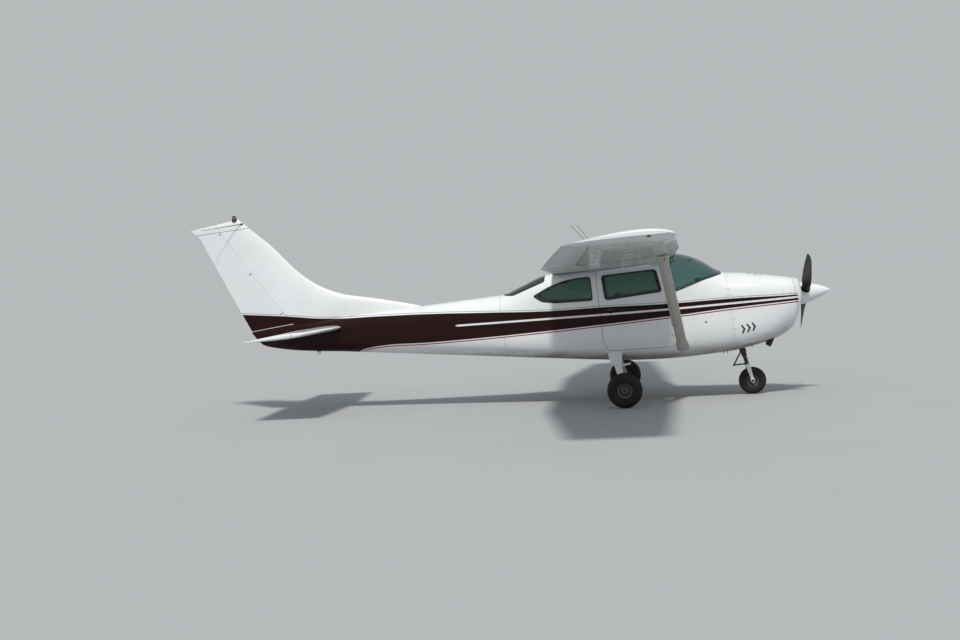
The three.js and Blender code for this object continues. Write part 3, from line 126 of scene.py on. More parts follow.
# Wing. Columns: y, leading edge x, chord, incidence in degrees, thickness ratio, lift
WING = np.array([
    [460, -1974, 1626, 1.5, 0.12, 0], [2540, -1974, 1626, 1.5, 0.12, 0], [5330, -2102, 1105, -1.4, 0.12, 0],
    [5420, -2124, 1060, -1.5, 0.095, 10], [5460, -2177, 930, -1.5, 0.035, 24],
]) * [MM, MM, MM, 1, 1, MM]
WING_YS = np.array([460, 1200, 1900, 2540, 3200, 3900, 4600, 5330, 5360, 5390, 5420, 5440, 5452, 5460]) * MM
WING_LEADING_Z = 2007 * MM
WING_CAMBER = 0.02
DIHEDRAL, DIHEDRAL_FROM_Y = math.radians(1.75), 550 * MM
FLAP_YS = np.array([620, 2500]) * MM
FLAP_PIVOT = 170 * MM  # below the wing's chord line
FLAP_START, FLAP_NOSE, FLAP_AXIS = 0.0373, 0.71, 0.8  # shares of the chord
AILERON_YS = np.array([2560, 5230]) * MM
AILERON_RADII = np.array([54, 37]) * MM
SURFACE_GAP = 6 * MM  # round a control surface
FAR = 1.5  # behind any hinge

# Tail. Columns: y, leading edge x, chord, thickness ratio
TAILPLANE = np.array([[0, -6564, 1000, 0.088], [1700, -6667, 850, 0.075], [1775, -6690, 820, 0.03]])
TAILPLANE = TAILPLANE * [MM, MM, MM, 1]
TAILPLANE_Z = 1655 * MM
TIP_YS = [1.72, 1.74, 1.755, 1.768, 1.775]
ELEVATOR_HINGE_X = -7010 * MM
ELEVATOR_RADII = np.array([48, 31]) * MM
ELEVATOR_ROOT_Y, HORN_Y, HORN_X = 166 * MM, 1600 * MM, -6860 * MM
# Fin. Columns: leading edge x and z, trailing edge x and z, thickness
FIN = np.array([
    [-5330, 1740, -7845, 1700, 90], [-5455, 1788, -7876, 1783, 108], [-6017, 1965, -7949, 1965, 112],
    [-6545, 2115, -8008, 2115, 110], [-6847, 2276, -8072, 2276, 106], [-7080, 2480, -8153, 2480, 100],
    [-7414, 2893, -8317, 2893, 82], [-7690, 3183, -8421, 3154, 66], [-7794, 3292, -8493, 3235, 56],
    [-7838, 3330, -8532, 3274, 26],
]) * MM
RUDDER_HINGE = np.array([[-7310, 0, 1755], [-8410, 0, 3648]]) * MM
RUDDER_RADII = np.array([58, 30]) * MM
RUDDER_FOOT = np.array([[-7290, 1800], [-7870, 1773]]) * MM
CAP_SEAM_Z = 3190 * MM

# Struts and legs. Columns: y, x, z, chord, thickness
STRUT = np.array([
    [500, -2031, 752, 150, 66], [640, -2042, 835, 150, 66], [760, -2051, 905, 128, 54],
    [2440, -2181, 1884, 128, 54], [2540, -2189, 1942, 142, 62], [2640, -2197, 2001, 142, 62],
]) * MM
LEG = np.array([[455, -2905, 838, 156, 40], [545, -2904, 782, 140, 34], [700, -2894, 678, 104, 30],
                [860, -2880, 576, 82, 27], [1010, -2862, 476, 78, 25], [1118, -2852, 402, 78, 25]]) * MM

# Propeller. Columns: radius, chord, thickness, pitch in degrees
BLADE = np.array([[60, 92, 88, 62], [170, 108, 66, 52], [320, 150, 38, 38], [560, 168, 24, 27],
                  [820, 146, 15, 21], [980, 112, 9, 18], [1040, 58, 5, 17]]) * [MM, MM, MM, 1]
SPINNER = np.array([[0, 0], [42, 62], [82, 150], [116, 250], [139, 345], [146, 392]]) * MM  # radius, distance
PROP_X = -0.330
PROP_TURN = math.radians(28)


# Shapes

def smooth_table(knots, values, at):
    """The rows of a table between its knots, on curves that don't overshoot them."""
    at = np.atleast_1d(at)
    step = np.diff(knots)[:, None]
    slope = np.diff(values, axis=0) / step
    tangent = np.empty_like(values)
    tangent[0], tangent[-1] = slope[0], slope[-1]
    near, far = 2 * step[1:] + step[:-1], step[1:] + 2 * step[:-1]
    turning = slope[:-1] * slope[1:] <= 0
    first, second = np.where(turning, 1, slope[:-1]), np.where(turning, 1, slope[1:])
    tangent[1:-1] = np.where(turning, 0, (near + far) / (near / first + far / second))
    row = np.clip(np.searchsorted(knots, at, side="right") - 1, 0, len(knots) - 2)
    width = step[row]
    t = (at[:, None] - knots[row][:, None]) / width
    return ((1 + 2 * t) * (1 - t) ** 2 * values[row] + t * (1 - t) ** 2 * width * tangent[row]
            + t * t * (3 - 2 * t) * values[row + 1] + t * t * (t - 1) * width * tangent[row + 1])


def straight_table(knots, values, at):
    """The rows of a table between its knots, on straight lines."""
    return np.stack([np.interp(at, knots, column) for column in values.T], -1)


def sections_at(xs):
    table = SECTIONS[::-1]
    return smooth_table(table[:, 0], table[:, 1:], xs)


def full_turn(count):
    """Evenly spaced angles round a circle."""
    return np.linspace(0, 2 * math.pi, count, endpoint=False)


def unit(vector):
    return np.asarray(vector, float) / np.linalg.norm(vector)


def lengths_along(points):
    """The distance of each point from the first, along the line through them."""
    return np.concatenate([[0], np.cumsum(np.linalg.norm(np.diff(points, axis=0), axis=1))])


def at_x(x, ys, zs):
    """Points in a plane across the aircraft."""
    return np.column_stack([np.full(len(ys), x), ys, zs])


def at_y(y, xs, zs):
    """Points in a plane along the aircraft."""
    return np.column_stack([xs, np.full(len(xs), y), zs])


def quarter_points(width, height, power):
    """Evenly spaced points on a rounded quarter, from the side to the top."""
    angle = np.linspace(0, math.pi / 2, FINE)
    points = np.column_stack([width * np.cos(angle) ** (2 / power), height * np.sin(angle) ** (2 / power)])
    length = lengths_along(points)
    return straight_table(length, points, np.linspace(0, length[-1], QUARTER + 1))


def fuselage_rings(xs, inset=0.0):
    """Rings of the fuselage's outer surface moved in by an inset, at each x."""
    rings = []
    for x, (top, bottom, half, widest, upper, lower) in zip(xs, sections_at(xs)):
        above = quarter_points(half - inset, top - inset - widest, upper)
        below = quarter_points(half - inset, widest - bottom - inset, lower)
        ring = np.concatenate([
            above[:-1], above[:0:-1] * [-1, 1], below[:-1] * [-1, -1], below[:0:-1] * [1, -1],
        ])
        rings.append(at_x(x, ring[:, 0], ring[:, 1] + widest))
    return np.array(rings)


def stations(front, back, spacing=0.05):
    """The x of each ring: closer together on the bowl's rounded edge."""
    count = max(2, math.ceil((front - back) / spacing) + 1)
    edge = BOWL_EDGE_XS[(BOWL_EDGE_XS < front - MM) & (BOWL_EDGE_XS > back + MM)]
    return np.unique(np.concatenate([np.linspace(front, back, count), edge]))[::-1]


def mesh_from(points, faces):
    mesh = bpy.data.meshes.new("shape")
    mesh.from_pydata(np.asarray(points).tolist(), [], faces)
    work = bmesh.new()
    work.from_mesh(mesh)
    bmesh.ops.recalc_face_normals(work, faces=work.faces)
    work.to_mesh(mesh)
    work.free()
    return mesh


def quads_between(here, there):
    """Faces between rows of point numbers that run round and rows next to them."""
    quads = np.stack([here, np.roll(here, -1, 1), np.roll(there, -1, 1), there], -1)
    return quads.reshape(-1, 4).tolist()


def loft(rings, loop=False):
    """A closed body through rings of equal counts. A loop joins the last ring to the first."""
    rings = np.asarray(rings, float)
    number = np.arange(rings.shape[0] * rings.shape[1]).reshape(rings.shape[:2])
    if loop:
        faces = quads_between(number, np.roll(number, -1, 0))
    else:
        faces = quads_between(number[:-1], number[1:]) + [number[0][::-1].tolist(), number[-1].tolist()]
    return mesh_from(rings.reshape(-1, 3), faces)


def skin(front, back, outer, inner, spacing=0.05):
    """A layer of the fuselage between two insets, open at both ends."""
    xs = stations(front, back, spacing)
    return loft(np.concatenate([fuselage_rings(xs, outer), fuselage_rings(xs, inner)[::-1]]), loop=True)


def fuselage(front, back, inset=-CLEAR):
    return loft(fuselage_rings(stations(front, back), inset))


def rounded(outline, radius, steps=8):
    """An outline with its corners rounded."""
    corners = np.asarray(outline, float)
    if radius <= 0:
        return corners
    points = []
    for before, corner, after in zip(np.roll(corners, 1, 0), corners, np.roll(corners, -1, 0)):
        start, end = (corner + (other - corner) / length * min(radius, length / 2.1)
                      for other in (before, after) for length in [np.linalg.norm(other - corner)])
        for t in np.linspace(0, 1, steps + 1):
            points.append((1 - t) ** 2 * start + 2 * t * (1 - t) * corner + t * t * end)
    return np.array(points)


def widened(outline, distance):
    """An outline with each side moved outward by a distance."""
    corners = np.asarray(outline, float)
    after = np.roll(corners, -1, 0)
    area = np.sum(corners[:, 0] * after[:, 1] - corners[:, 1] * after[:, 0])
    side = after - corners
    side /= np.linalg.norm(side, axis=1)[:, None]
    normal = np.stack([side[:, 1], -side[:, 0]], -1) * np.sign(area)
    before = np.roll(normal, 1, 0)
    return corners + distance * (before + normal) / (1 + np.sum(before * normal, 1))[:, None]


def plate(outline, low, high, radius=0.0, axis=1):
    """An outline made thick along an axis; its points leave that axis out."""
    flat = rounded(outline, radius)
    return loft([np.insert(flat, axis, at, 1) for at in (low, high)])


def block(low, high, radius=0.0):
    (x0, y0, z0), (x1, y1, z1) = low, high
    return plate([[x0, z0], [x1, z0], [x1, z1], [x0, z1]], y0, y1, radius)


def ball(centre, sizes, sides=32):
    """An egg-shaped body of these half sizes."""
    angle = np.linspace(0, math.pi, 15)
    mesh = turned([(abs(math.sin(a)), -math.cos(a)) for a in angle], (0, 0, 0), (0, 0, 1), sides)
    mesh.transform(Matrix.Translation(centre) @ Matrix.Diagonal((*sizes, 1)))
    return mesh


def ring_of(centre, direction, radius, thick, sides=32):
    """A round ring about a direction."""
    profile = [(radius + thick * math.cos(a), thick * math.sin(a)) for a in full_turn(12)]
    return turned(profile, centre, direction, sides)


def across(direction):
    """Two directions at right angles to one."""
    direction = unit(direction)
    first = unit(np.cross(direction, [0, 0, 1] if abs(direction[2]) < 0.9 else [0, 1, 0]))
    return first, np.cross(direction, first)


def turned(profile, start, direction, sides=48):
    """A body of revolution from radius and distance pairs along a direction; a profile of pairs that
    begins and ends on the axis is closed, and any other is closed on itself."""
    direction = unit(direction)
    first, second = across(direction)
    angle = full_turn(sides)
    round_it = np.outer(np.cos(angle), first) + np.outer(np.sin(angle), second)
    closed_ends = profile[0][0] < 1e-6 and profile[-1][0] < 1e-6
    pairs = profile[1:-1] if closed_ends else profile
    rings = [np.asarray(start) + direction * along + round_it * radius for radius, along in pairs]
    if not closed_ends:
        return loft(rings, loop=True)
    number = np.arange(len(pairs) * sides).reshape(len(pairs), sides)
    faces = quads_between(number[:-1], number[1:])
    ends = [np.asarray(start) + direction * profile[i][1] for i in (0, -1)]
    first_end = number.size
    for i in range(sides):
        faces.append([first_end, int(number[0][(i + 1) % sides]), int(number[0][i])])
        faces.append([first_end + 1, int(number[-1][i]), int(number[-1][(i + 1) % sides])])
    return mesh_from(np.concatenate([np.array(rings).reshape(-1, 3), ends]), faces)


def bar(start, end, radius, sides=32, end_radius=None, bevel=0.0):
    """A round bar between two points, its ends bevelled."""
    start, end = np.asarray(start, float), np.asarray(end, float)
    length = np.linalg.norm(end - start)
    last = radius if end_radius is None else end_radius
    edge = min(bevel, length / 3)
    profile = [(0, 0), (radius, 0), (last, length), (0, length)]
    if edge > 0:
        profile = [(0, 0), (radius - edge, 0), (radius, edge), (last, length - edge), (last - edge, length),
                   (0, length)]
    return turned(profile, start, end - start, sides)


def pin(centre, direction, half, radius, sides=12, bevel=0.0):
    """A round bar that reaches half its length each way from its centre."""
    reach = np.asarray(direction) * half
    return bar(np.asarray(centre) - reach, np.asarray(centre) + reach, radius, sides, bevel=bevel)


def tube(points, radius, sides=16, steps=8):
    """A round tube on a smooth curve through points. Several radii run from its start to its end."""
    path = points = np.asarray(points, float)
    if len(points) > 2:
        row = np.vstack([2 * points[0] - points[1], points, 2 * points[-1] - points[-2]])
        path = [0.5 * (2 * b + (c - a) * t + (2 * a - 5 * b + 4 * c - d) * t * t
                       + (3 * b - a - 3 * c + d) * t ** 3)
                for a, b, c, d in zip(row, row[1:], row[2:], row[3:])
                for t in np.linspace(0, 1, steps, endpoint=False)]
        path = np.array(path + [points[-1]])
    tangent = np.gradient(path, axis=0)
    tangent /= np.linalg.norm(tangent, axis=1)[:, None]
    normal = across(tangent[0])[0]
    angle = full_turn(sides)
    sizes = np.atleast_1d(radius)
    radii = np.interp(np.linspace(0, 1, len(path)), np.linspace(0, 1, len(sizes)), sizes)
    rings = []
    for at, direction, size in zip(path, tangent, radii):
        normal = unit(normal - direction * normal.dot(direction))
        other = np.cross(direction, normal)
        rings.append(at + size * (np.outer(np.cos(angle), normal) + np.outer(np.sin(angle), other)))
    return loft(rings)


def joined(*meshes):
    """Several meshes in one, without a boolean."""
    work = bmesh.new()
    for mesh in meshes:
        work.from_mesh(mesh)
    whole = bpy.data.meshes.new("shape")
    work.to_mesh(whole)
    work.free()
    return whole


def mirrored(mesh):
    """A copy on the other side of the middle plane."""
    copy = mesh.copy()
    copy.transform(Matrix.Scale(-1, 4, (0, 1, 0)))
    copy.flip_normals()
    return copy


def moved(mesh, offset):
    mesh.transform(Matrix.Translation(offset))
    return mesh


def finished_mesh(item):
    """The mesh of an object after its modifiers."""
    return bpy.data.meshes.new_from_object(item.evaluated_get(bpy.context.evaluated_depsgraph_get()))


def combine(mesh, tools, operation):
    """The mesh after boolean steps with other meshes."""
    body = add_object("body", mesh)
    helpers = [add_object("tool", tool) for tool in tools]
    for helper in helpers:
        modifier = body.modifiers.new("tool", "BOOLEAN")
        modifier.operation, modifier.solver, modifier.object = operation, "MANIFOLD", helper
    bpy.context.view_layer.update()
    made = finished_mesh(body)
    for extra in [body] + helpers:
        bpy.data.objects.remove(extra)
    return made


MARKS = [bpy.data.materials.new(name) for name in ("own_faces", "cut_faces", "dark_faces")]


def marked(mesh, mark):
    """The mesh with a mark on its faces that a boolean keeps: 0 for the body's own, 1 or 2 for a cutter's."""
    mesh.materials.clear()
    for material in MARKS:
        mesh.materials.append(material)
    mesh.polygons.foreach_set("material_index", np.full(len(mesh.polygons), mark, np.int32))
    return mesh


def cut(mesh, *tools, mark=1, operation="DIFFERENCE"):
    body = mesh if mesh.materials else marked(mesh, 0)
    return combine(body, [marked(tool, mark) for tool in tools], operation)


def common(mesh, *tools):
    return cut(mesh, *tools, operation="INTERSECT")


# The CAD material that a piece stands for where it replaces a node, by the name of its own first material
SLOTS = {
    "body_paint": "white_paint", "cowl_paint": "white_paint", "wing_paint": "white_paint",
    "beaded_paint": "white_paint", "fin_paint": "white_paint", "spinner_paint": "white_paint",
    "strut_paint": "cream_paint", "gear_paint": "gear_paint", "windshield_glass": "glazing",
    "cabin_glass": "glazing", "tyre_rubber": "tyre_rubber", "hub_alloy": "hub_alloy",
    "dark_metal": "strut_black", "prop_black": "propeller_black", "beacon_lens": "beacon_lens",
    "seat_cloth": "seat_cloth",
}


def place(name, mesh, materials, replaces="", body="airframe", slot=None, sharp=32):
    """Makes a piece of a mesh in aircraft axes, in the object's frame, on a body."""
    mesh = mesh.copy()
    mesh.transform(TO_FRAME)
    mesh.name = name
    materials = materials if isinstance(materials, list) else [materials]
    marks = np.empty(len(mesh.polygons), np.int32)
    mesh.polygons.foreach_get("material_index", marks)
    mesh.materials.clear()
    for material in materials:
        mesh.materials.append(material)
    mesh.polygons.foreach_set("material_index", np.minimum(marks, len(materials) - 1))
    mesh.polygons.foreach_set("use_smooth", np.ones(len(mesh.polygons), bool))
    mesh.set_sharp_from_angle(angle=math.radians(sharp))
    piece = add_object(name, mesh)
    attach(piece, body)
    if replaces:
        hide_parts(replaces)
        own = materials[0].name.split(".")[0]  # without the number that follows a name taken by the CAD model
        slot = slot or SLOTS.get(own)
    return piece


SIDES = [("left", 1), ("right", -1)]
UP, OUT = np.array([0, 0, 1.0]), np.array([0, 1.0, 0])


def sided(mesh, sign):
    return mesh if sign > 0 else mirrored(mesh)


def place_both(name, mesh, materials, replaces="", body="airframe", **settings):
    """A port piece and its mirror image. A body or a replaced node whose name ends in _ gets its side."""
    def named(word, side):
        return word + side if word.endswith("_") else word

    return [place(name + "_" + side, sided(mesh, sign), materials, named(replaces, side), named(body, side),
                  **settings) for side, sign in SIDES]


# Materials

def shade(colour, share):
    return tuple(share * part for part in colour)


class Shader:
    """The nodes of one material. Its methods add nodes and give their outputs."""

    def __init__(self, name):
        self.material = bpy.data.materials.new(name)
        self.material.use_nodes = True
        self.tree = self.material.node_tree
        self.surface = self.tree.nodes["Principled BSDF"]

    def join(self, value, socket):
        if isinstance(value, bpy.types.NodeSocket):
            self.tree.links.new(value, socket)
        else:
            socket.default_value = (*value, 1) if socket.type == "RGBA" else value

    def node(self, kind, **inputs):
        """A new node with its inputs joined by name."""
        node = self.tree.nodes.new("ShaderNode" + kind)
        for name, value in inputs.items():
            self.join(value, node.inputs[name])
        return node

    def add(self, kind, *values, out=0, **settings):
        """An output of a new node with its inputs joined in order."""
        node = self.node(kind)
        for key, value in settings.items():
            setattr(node, key, value)
        for socket, value in zip(node.inputs, values):
            self.join(value, socket)
        return node.outputs[out]

    def set(self, **values):
        for name, value in values.items():
            self.join(value, self.surface.inputs[name.replace("_", " ")])

    def math(self, operation, *values, clamp=False):
        return self.add("Math", *values, operation=operation, use_clamp=clamp)

    def times(self, first, second, clamp=False):
        return self.math("MULTIPLY", first, second, clamp=clamp)

    def minus(self, first, second, clamp=False):
        return self.math("SUBTRACT", first, second, clamp=clamp)

    def mix(self, share, first, second):
        return self.add("MixRGB", share, first, second)

    def ramp(self, value, low, high, to_low=0.0, to_high=1.0, smooth=False):
        kind = "SMOOTHSTEP" if smooth else "LINEAR"
        return self.add("MapRange", value, low, high, to_low, to_high, interpolation_type=kind)

    def noise(self, where, scale, detail=3.0, roughness=0.55, distortion=0.0):
        return self.node("TexNoise", Vector=where, Scale=scale, Detail=detail, Roughness=roughness,
                         Distortion=distortion).outputs["Fac"]

    def coordinates(self):
        """The place on the object, in aircraft axes, as a vector and its x, y and z."""
        back = Matrix.Rotation(ATTITUDE, 3, "Y")
        vector = self.add("Mapping", self.add("TexCoord", out=3), -(back @ SHIFT), (0, ATTITUDE, 0))
        return vector, *self.node("SeparateXYZ", Vector=vector).outputs

    def facing_up(self):
        """How much the surface faces along the object's upward axis."""
        return self.node("SeparateXYZ", Vector=self.add("TexCoord", out=1)).outputs[2]

    def curve(self, value, points, value_range, result_range):
        """A result that follows points against a value."""
        node = self.node("FloatCurve", Value=self.ramp(value, *value_range))
        line = node.mapping.curves[0]
        (low_x, high_x), (low_z, high_z) = value_range, result_range
        spots = sorted(((x - low_x) / (high_x - low_x), (z - low_z) / (high_z - low_z)) for x, z in points)
        while len(line.points) < len(spots):
            line.points.new(0.5, 0.5)
        for point, spot in zip(line.points, spots):
            point.location = spot
        node.mapping.update()
        return self.ramp(node.outputs[0], 0, 1, *result_range)

    def near(self, distance, half_width, soft=MM):
        """1 where a signed distance is within a half width of 0."""
        return self.ramp(self.math("ABSOLUTE", distance), half_width + soft, half_width)

    def repeat(self, value, spacing):
        """The distance from the nearest multiple of a spacing."""
        return self.math("PINGPONG", value, spacing / 2)

    def rivets(self, rows, along, row_spacing, pitch=30 * MM, radius=2.8 * MM):
        """Round heads at a pitch along rows at a spacing."""
        squares = [self.math("POWER", self.repeat(value, spacing), 2)
                   for value, spacing in ((rows, row_spacing), (along, pitch))]
        reach = self.math("SQRT", self.math("ADD", *squares))
        return self.ramp(reach, radius, radius * 0.4, smooth=True)

    def bump(self, *layers):
        """Layers of height and distance, one over another, on the surface's normal."""
        below = {}
        for height, distance in layers:
            node = self.node("Bump", Strength=1, Distance=distance, Height=height, **below)
            below = {"Normal": node.outputs[0]}
        self.set(**below)


WHITE = (0.80, 0.815, 0.83)
MAROON = (0.018, 0.0052, 0.0054)
DARK_MAROON = (0.016, 0.006, 0.007)
PIN_RED = (0.20, 0.018, 0.032)
# Colour of specks of grime, of dark rivet joints, and of the streaked darkening of faces that look down,
# which is partly painted shade
GRIME_AND_SHADE = (0.17, 0.145, 0.115)
CREAM = (0.43, 0.415, 0.365)
# Brown of the layer along the belly, partly an oily stain and partly painted shade
BELLY_OIL_AND_SHADE = (0.050, 0.034, 0.023)

# Edges of the stripes. Columns: x, z
STRIPE_TOP = np.array([[-8600, 2125], [-7963, 2014], [-7401, 1917], [-6704, 1787], [-6010, 1728],
                       [-5358, 1670], [-4526, 1576], [-3685, 1484], [-3006, 1439], [-2161, 1367],
                       [-1346, 1319], [-475, 1246], [-350, 1238]]) * MM
STRIPE_LINE = np.array([[-8600, 1700], [-4963, 1460], [-3699, 1383], [-2170, 1294], [-1357, 1257],
                        [-482, 1217], [-350, 1212]]) * MM
STRIPE_BOTTOM = np.array([[-8600, 1102], [-6800, 1102], [-6550, 1170], [-6410, 1262], [-6310, 1308],
                          [-6056, 1328], [-5415, 1288], [-4991, 1266], [-3721, 1226], [-3037, 1214],
                          [-2186, 1202], [-1363, 1198], [-485, 1175], [-350, 1170]]) * MM
STRIPE_X, STRIPE_Z = (-8.6, -0.35), (1.1, 2.15)
STRIPE_END_X, LINE_END_X, PIN_END_X = -470 * MM, -4963 * MM, -6300 * MM
LINE_HALF, PIN_HALF, FINE_HALF = 12 * MM, 6.5 * MM, 3 * MM
PIN_BELOW, FINE_ABOVE = 21 * MM, 19 * MM


def stripes(shader, colour, x, z):
    """The band, its lines and the white under them, as far forward as the bowl's rounded edge."""
    bare = colour
    over_top, over_line, over_bottom = (shader.minus(z, shader.curve(x, edge, STRIPE_X, STRIPE_Z))
                                        for edge in (STRIPE_TOP, STRIPE_LINE, STRIPE_BOTTOM))
    band = shader.times(shader.ramp(over_top, MM, -MM), shader.ramp(over_bottom, -MM, MM))
    white_line = shader.times(shader.near(over_line, LINE_HALF),
                              shader.ramp(x, LINE_END_X - 0.02, LINE_END_X + 0.02))
    band = shader.minus(band, white_line, clamp=True)
    fine = shader.near(shader.minus(over_top, FINE_ABOVE), FINE_HALF)
    pin_line = shader.near(shader.math("ADD", over_bottom, PIN_BELOW), PIN_HALF)
    pin_line = shader.times(pin_line, shader.ramp(x, PIN_END_X - 0.04, PIN_END_X + 0.04))
    colour = shader.mix(shader.times(fine, 0.8), colour, DARK_MAROON)
    colour = shader.mix(pin_line, colour, PIN_RED)
    ahead = shader.ramp(x, STRIPE_END_X - 2 * MM, STRIPE_END_X + 2 * MM)
    colour = shader.mix(ahead, shader.mix(band, colour, MAROON), bare)
    return colour, shader.minus(band, ahead, clamp=True)


def paint(name, white=WHITE, striped=False, frames=None, grime_and_shade=0.35, low=None, gloss=(0.16, 0.32), oil=False,
          wave=0.0025):
    """Old gloss paint on sheet metal. Faces that look down darken in streaks, partly grime and partly
    painted shade. frames: spacing of the riveted frames. low: heights between which the darkening of the
    lower sides fades, painted shade with grime. The belly flag adds a brown layer along the belly behind
    the engine, partly an oily stain and partly painted shade."""
    shader = Shader(name)
    vector, x, y, z = shader.coordinates()
    up = shader.facing_up()
    patches = shader.noise(vector, 1.6, 5, 0.6)
    colour = shader.mix(shader.ramp(patches, 0.35, 0.75), white, shade(white, 0.93))
    speckle = shader.noise(vector, 26, 6, 0.72)
    colour = shader.mix(shader.ramp(speckle, 0.60, 0.80, 0, 0.16), colour, GRIME_AND_SHADE)
    if striped:
        colour, band = stripes(shader, colour, x, z)
    stretched = shader.add("Mapping", vector, (0, 0, 0), (0, 0, 0), (0.35, 1.6, 2.4))
    streaks = shader.noise(stretched, 3.2, 6, 0.66, 0.4)
    # Painted shade with grime: faces that look down, and the lower sides below the heights in low, darken in
    # streaks
    under = shader.ramp(up, -0.15, -0.85)
    if low:
        under = shader.math("MAXIMUM", under, shader.ramp(z, low[1], low[0], 0, 0.8))
    mask = shader.times(shader.ramp(streaks, 0.30, 0.78), under)
    mask = shader.times(mask, grime_and_shade, clamp=True)
    layers = [(shader.noise(vector, 2.3, 2, 0.4), wave), (shader.noise(vector, 420, 2, 0.5), 0.00005)]
    if frames:
        along = shader.mix(shader.ramp(shader.math("ABSOLUTE", up), 0.68, 0.74), z, y)
        heads = shader.rivets(x, along, frames)
        joint = shader.ramp(shader.repeat(x, frames), 1.6 * MM, 0.4 * MM)
        layers += [(heads, 0.7 * MM), (joint, -0.6 * MM)]
        mask = shader.math("MAXIMUM", mask, shader.times(shader.math("MAXIMUM", heads, joint), 0.22))
    if striped:
        mask = shader.times(mask, shader.ramp(band, 0, 1, 1, 0.25))
    colour = shader.mix(mask, colour, GRIME_AND_SHADE)
    # Painted shade with an oily stain: a brown layer darkens the streaked faces that look down along the
    # belly, fading out from x -3.6 back to x -5.6
    if oil:
        oil_and_shade_mask = shader.times(shader.ramp(up, -0.45, -0.93), shader.ramp(streaks, 0.22, 0.62))
        oil_and_shade_mask = shader.times(oil_and_shade_mask, shader.ramp(x, -5.6, -3.6, 0, 0.85))
        colour = shader.mix(oil_and_shade_mask, colour, BELLY_OIL_AND_SHADE)
        mask = shader.math("MAXIMUM", mask, shader.times(oil_and_shade_mask, 0.3))
    shine = shader.ramp(shader.noise(vector, 9, 6, 0.7), 0.3, 0.75, *gloss)
    shader.set(Base_Color=colour, Roughness=shader.math("ADD", shine, shader.times(mask, 0.4)),
               Specular_IOR_Level=shader.ramp(band, 0, 1, 0.42, 0.12) if striped else 0.42,
               Coat_Weight=shader.ramp(band, 0, 1, 0.2, 0.03) if striped else 0.2,
               Coat_Roughness=gloss[0] / 2)
    shader.bump(*layers)
    return shader.material


def plain_surface(name, colour, second, roughness=(0.4, 0.6), metal=0.0, scale=60.0, grain=0.0003, worn=None):
    """A surface of two mottled colours with grain. worn: a colour that shows in rubbed patches."""
    shader = Shader(name)
    vector = shader.coordinates()[0]
    mottle = shader.noise(vector, scale, 6, 0.65)
    colour = shader.mix(shader.ramp(mottle, 0.3, 0.72), colour, second)
    if worn:
        rubbed = shader.ramp(shader.noise(vector, scale * 0.4, 8, 0.75), 0.60, 0.66, 0, 0.7)
        colour = shader.mix(rubbed, colour, worn)
    shader.set(Base_Color=colour, Roughness=shader.ramp(mottle, 0.25, 0.8, *roughness), Metallic=metal)
    shader.bump((shader.noise(vector, scale * 6, 4, 0.6), grain))
    return shader.material


def glass(name, tint, shadow_tint):
    """Tinted acrylic: clear to lamps, with faint haze and fine scratches."""
    shader = Shader(name)
    vector = shader.coordinates()[0]
    haze = shader.noise(vector, 14, 7, 0.7)
    shader.set(Base_Color=shader.mix(shader.ramp(haze, 0.35, 0.8), tint, shade(tint, 0.9)),
               Roughness=shader.ramp(haze, 0.4, 0.8, 0.015, 0.06), Transmission_Weight=1, IOR=1.45)
    shader.bump((shader.noise(vector, 5, 2, 0.4), 0.0006))
    clear = shader.add("BsdfTransparent", shadow_tint)
    lamp_ray = shader.node("LightPath").outputs["Is Shadow Ray"]
    mixed = shader.add("MixShader", lamp_ray, shader.surface.outputs[0], clear)
    shader.join(mixed, shader.tree.nodes["Material Output"].inputs["Surface"])
    return shader.material


def lens(name, colour, through=0.3):
    """A coloured light lens with moulded ribs."""
    shader = Shader(name)
    vector, _, _, z = shader.coordinates()
    ribs = shader.ramp(shader.repeat(z, 6 * MM), 0, 3 * MM)
    colour = shader.mix(shader.ramp(shader.noise(vector, 60, 4), 0.3, 0.8), colour, shade(colour, 0.7))
    shader.set(Base_Color=colour, Roughness=shader.ramp(shader.noise(vector, 90, 3), 0.3, 0.8, 0.06, 0.2),
               Transmission_Weight=through, Coat_Weight=0.5)
    shader.bump((ribs, 1.2 * MM))
    return shader.material


def rubber(name):
    """Worn tyre rubber with patches of brown dust."""
    shader = Shader(name)
    vector = shader.coordinates()[0]
    dust = shader.noise(vector, 22, 8, 0.75)
    colour = shader.mix(shader.ramp(dust, 0.42, 0.75), (0.009, 0.009, 0.010), (0.036, 0.031, 0.026))
    shader.set(Base_Color=colour, Roughness=shader.ramp(dust, 0.3, 0.8, 0.55, 0.85), Specular_IOR_Level=0.3)
    shader.bump((shader.noise(vector, 300, 4, 0.7), 0.0004), (shader.noise(vector, 40, 4, 0.6), 0.0006))
    return shader.material


THREADS = 2600  # of the seat cloth's weave, in radians a metre


def cloth(name, colour, second):
    """Woven seat cloth."""
    shader = Shader(name)
    vector, x, y, z = shader.coordinates()
    weave = shader.times(*(shader.math("SINE", shader.times(way, THREADS))
                           for way in (shader.math("ADD", x, z), y)))
    faded = shader.ramp(shader.noise(vector, 7, 5), 0.3, 0.75)
    colour = shader.mix(faded, colour, second)
    colour = shader.mix(shader.ramp(weave, -1, 1, 0, 0.35), colour, shade(second, 0.5))
    shader.set(Base_Color=colour, Roughness=shader.ramp(faded, 0, 1, 0.85, 0.95), Sheen_Weight=0.4,
               Specular_IOR_Level=0.2)
    shader.bump((weave, 0.0004), (shader.noise(vector, 30, 4), 0.002))
    return shader.material


body_paint = paint("body_paint", striped=True, frames=0.46, low=(0.66, 1.05), oil=True)
cowl_paint = paint("cowl_paint", striped=True, low=(0.64, 0.95), oil=True)
fin_paint = paint("fin_paint", striped=True, grime_and_shade=0.2)
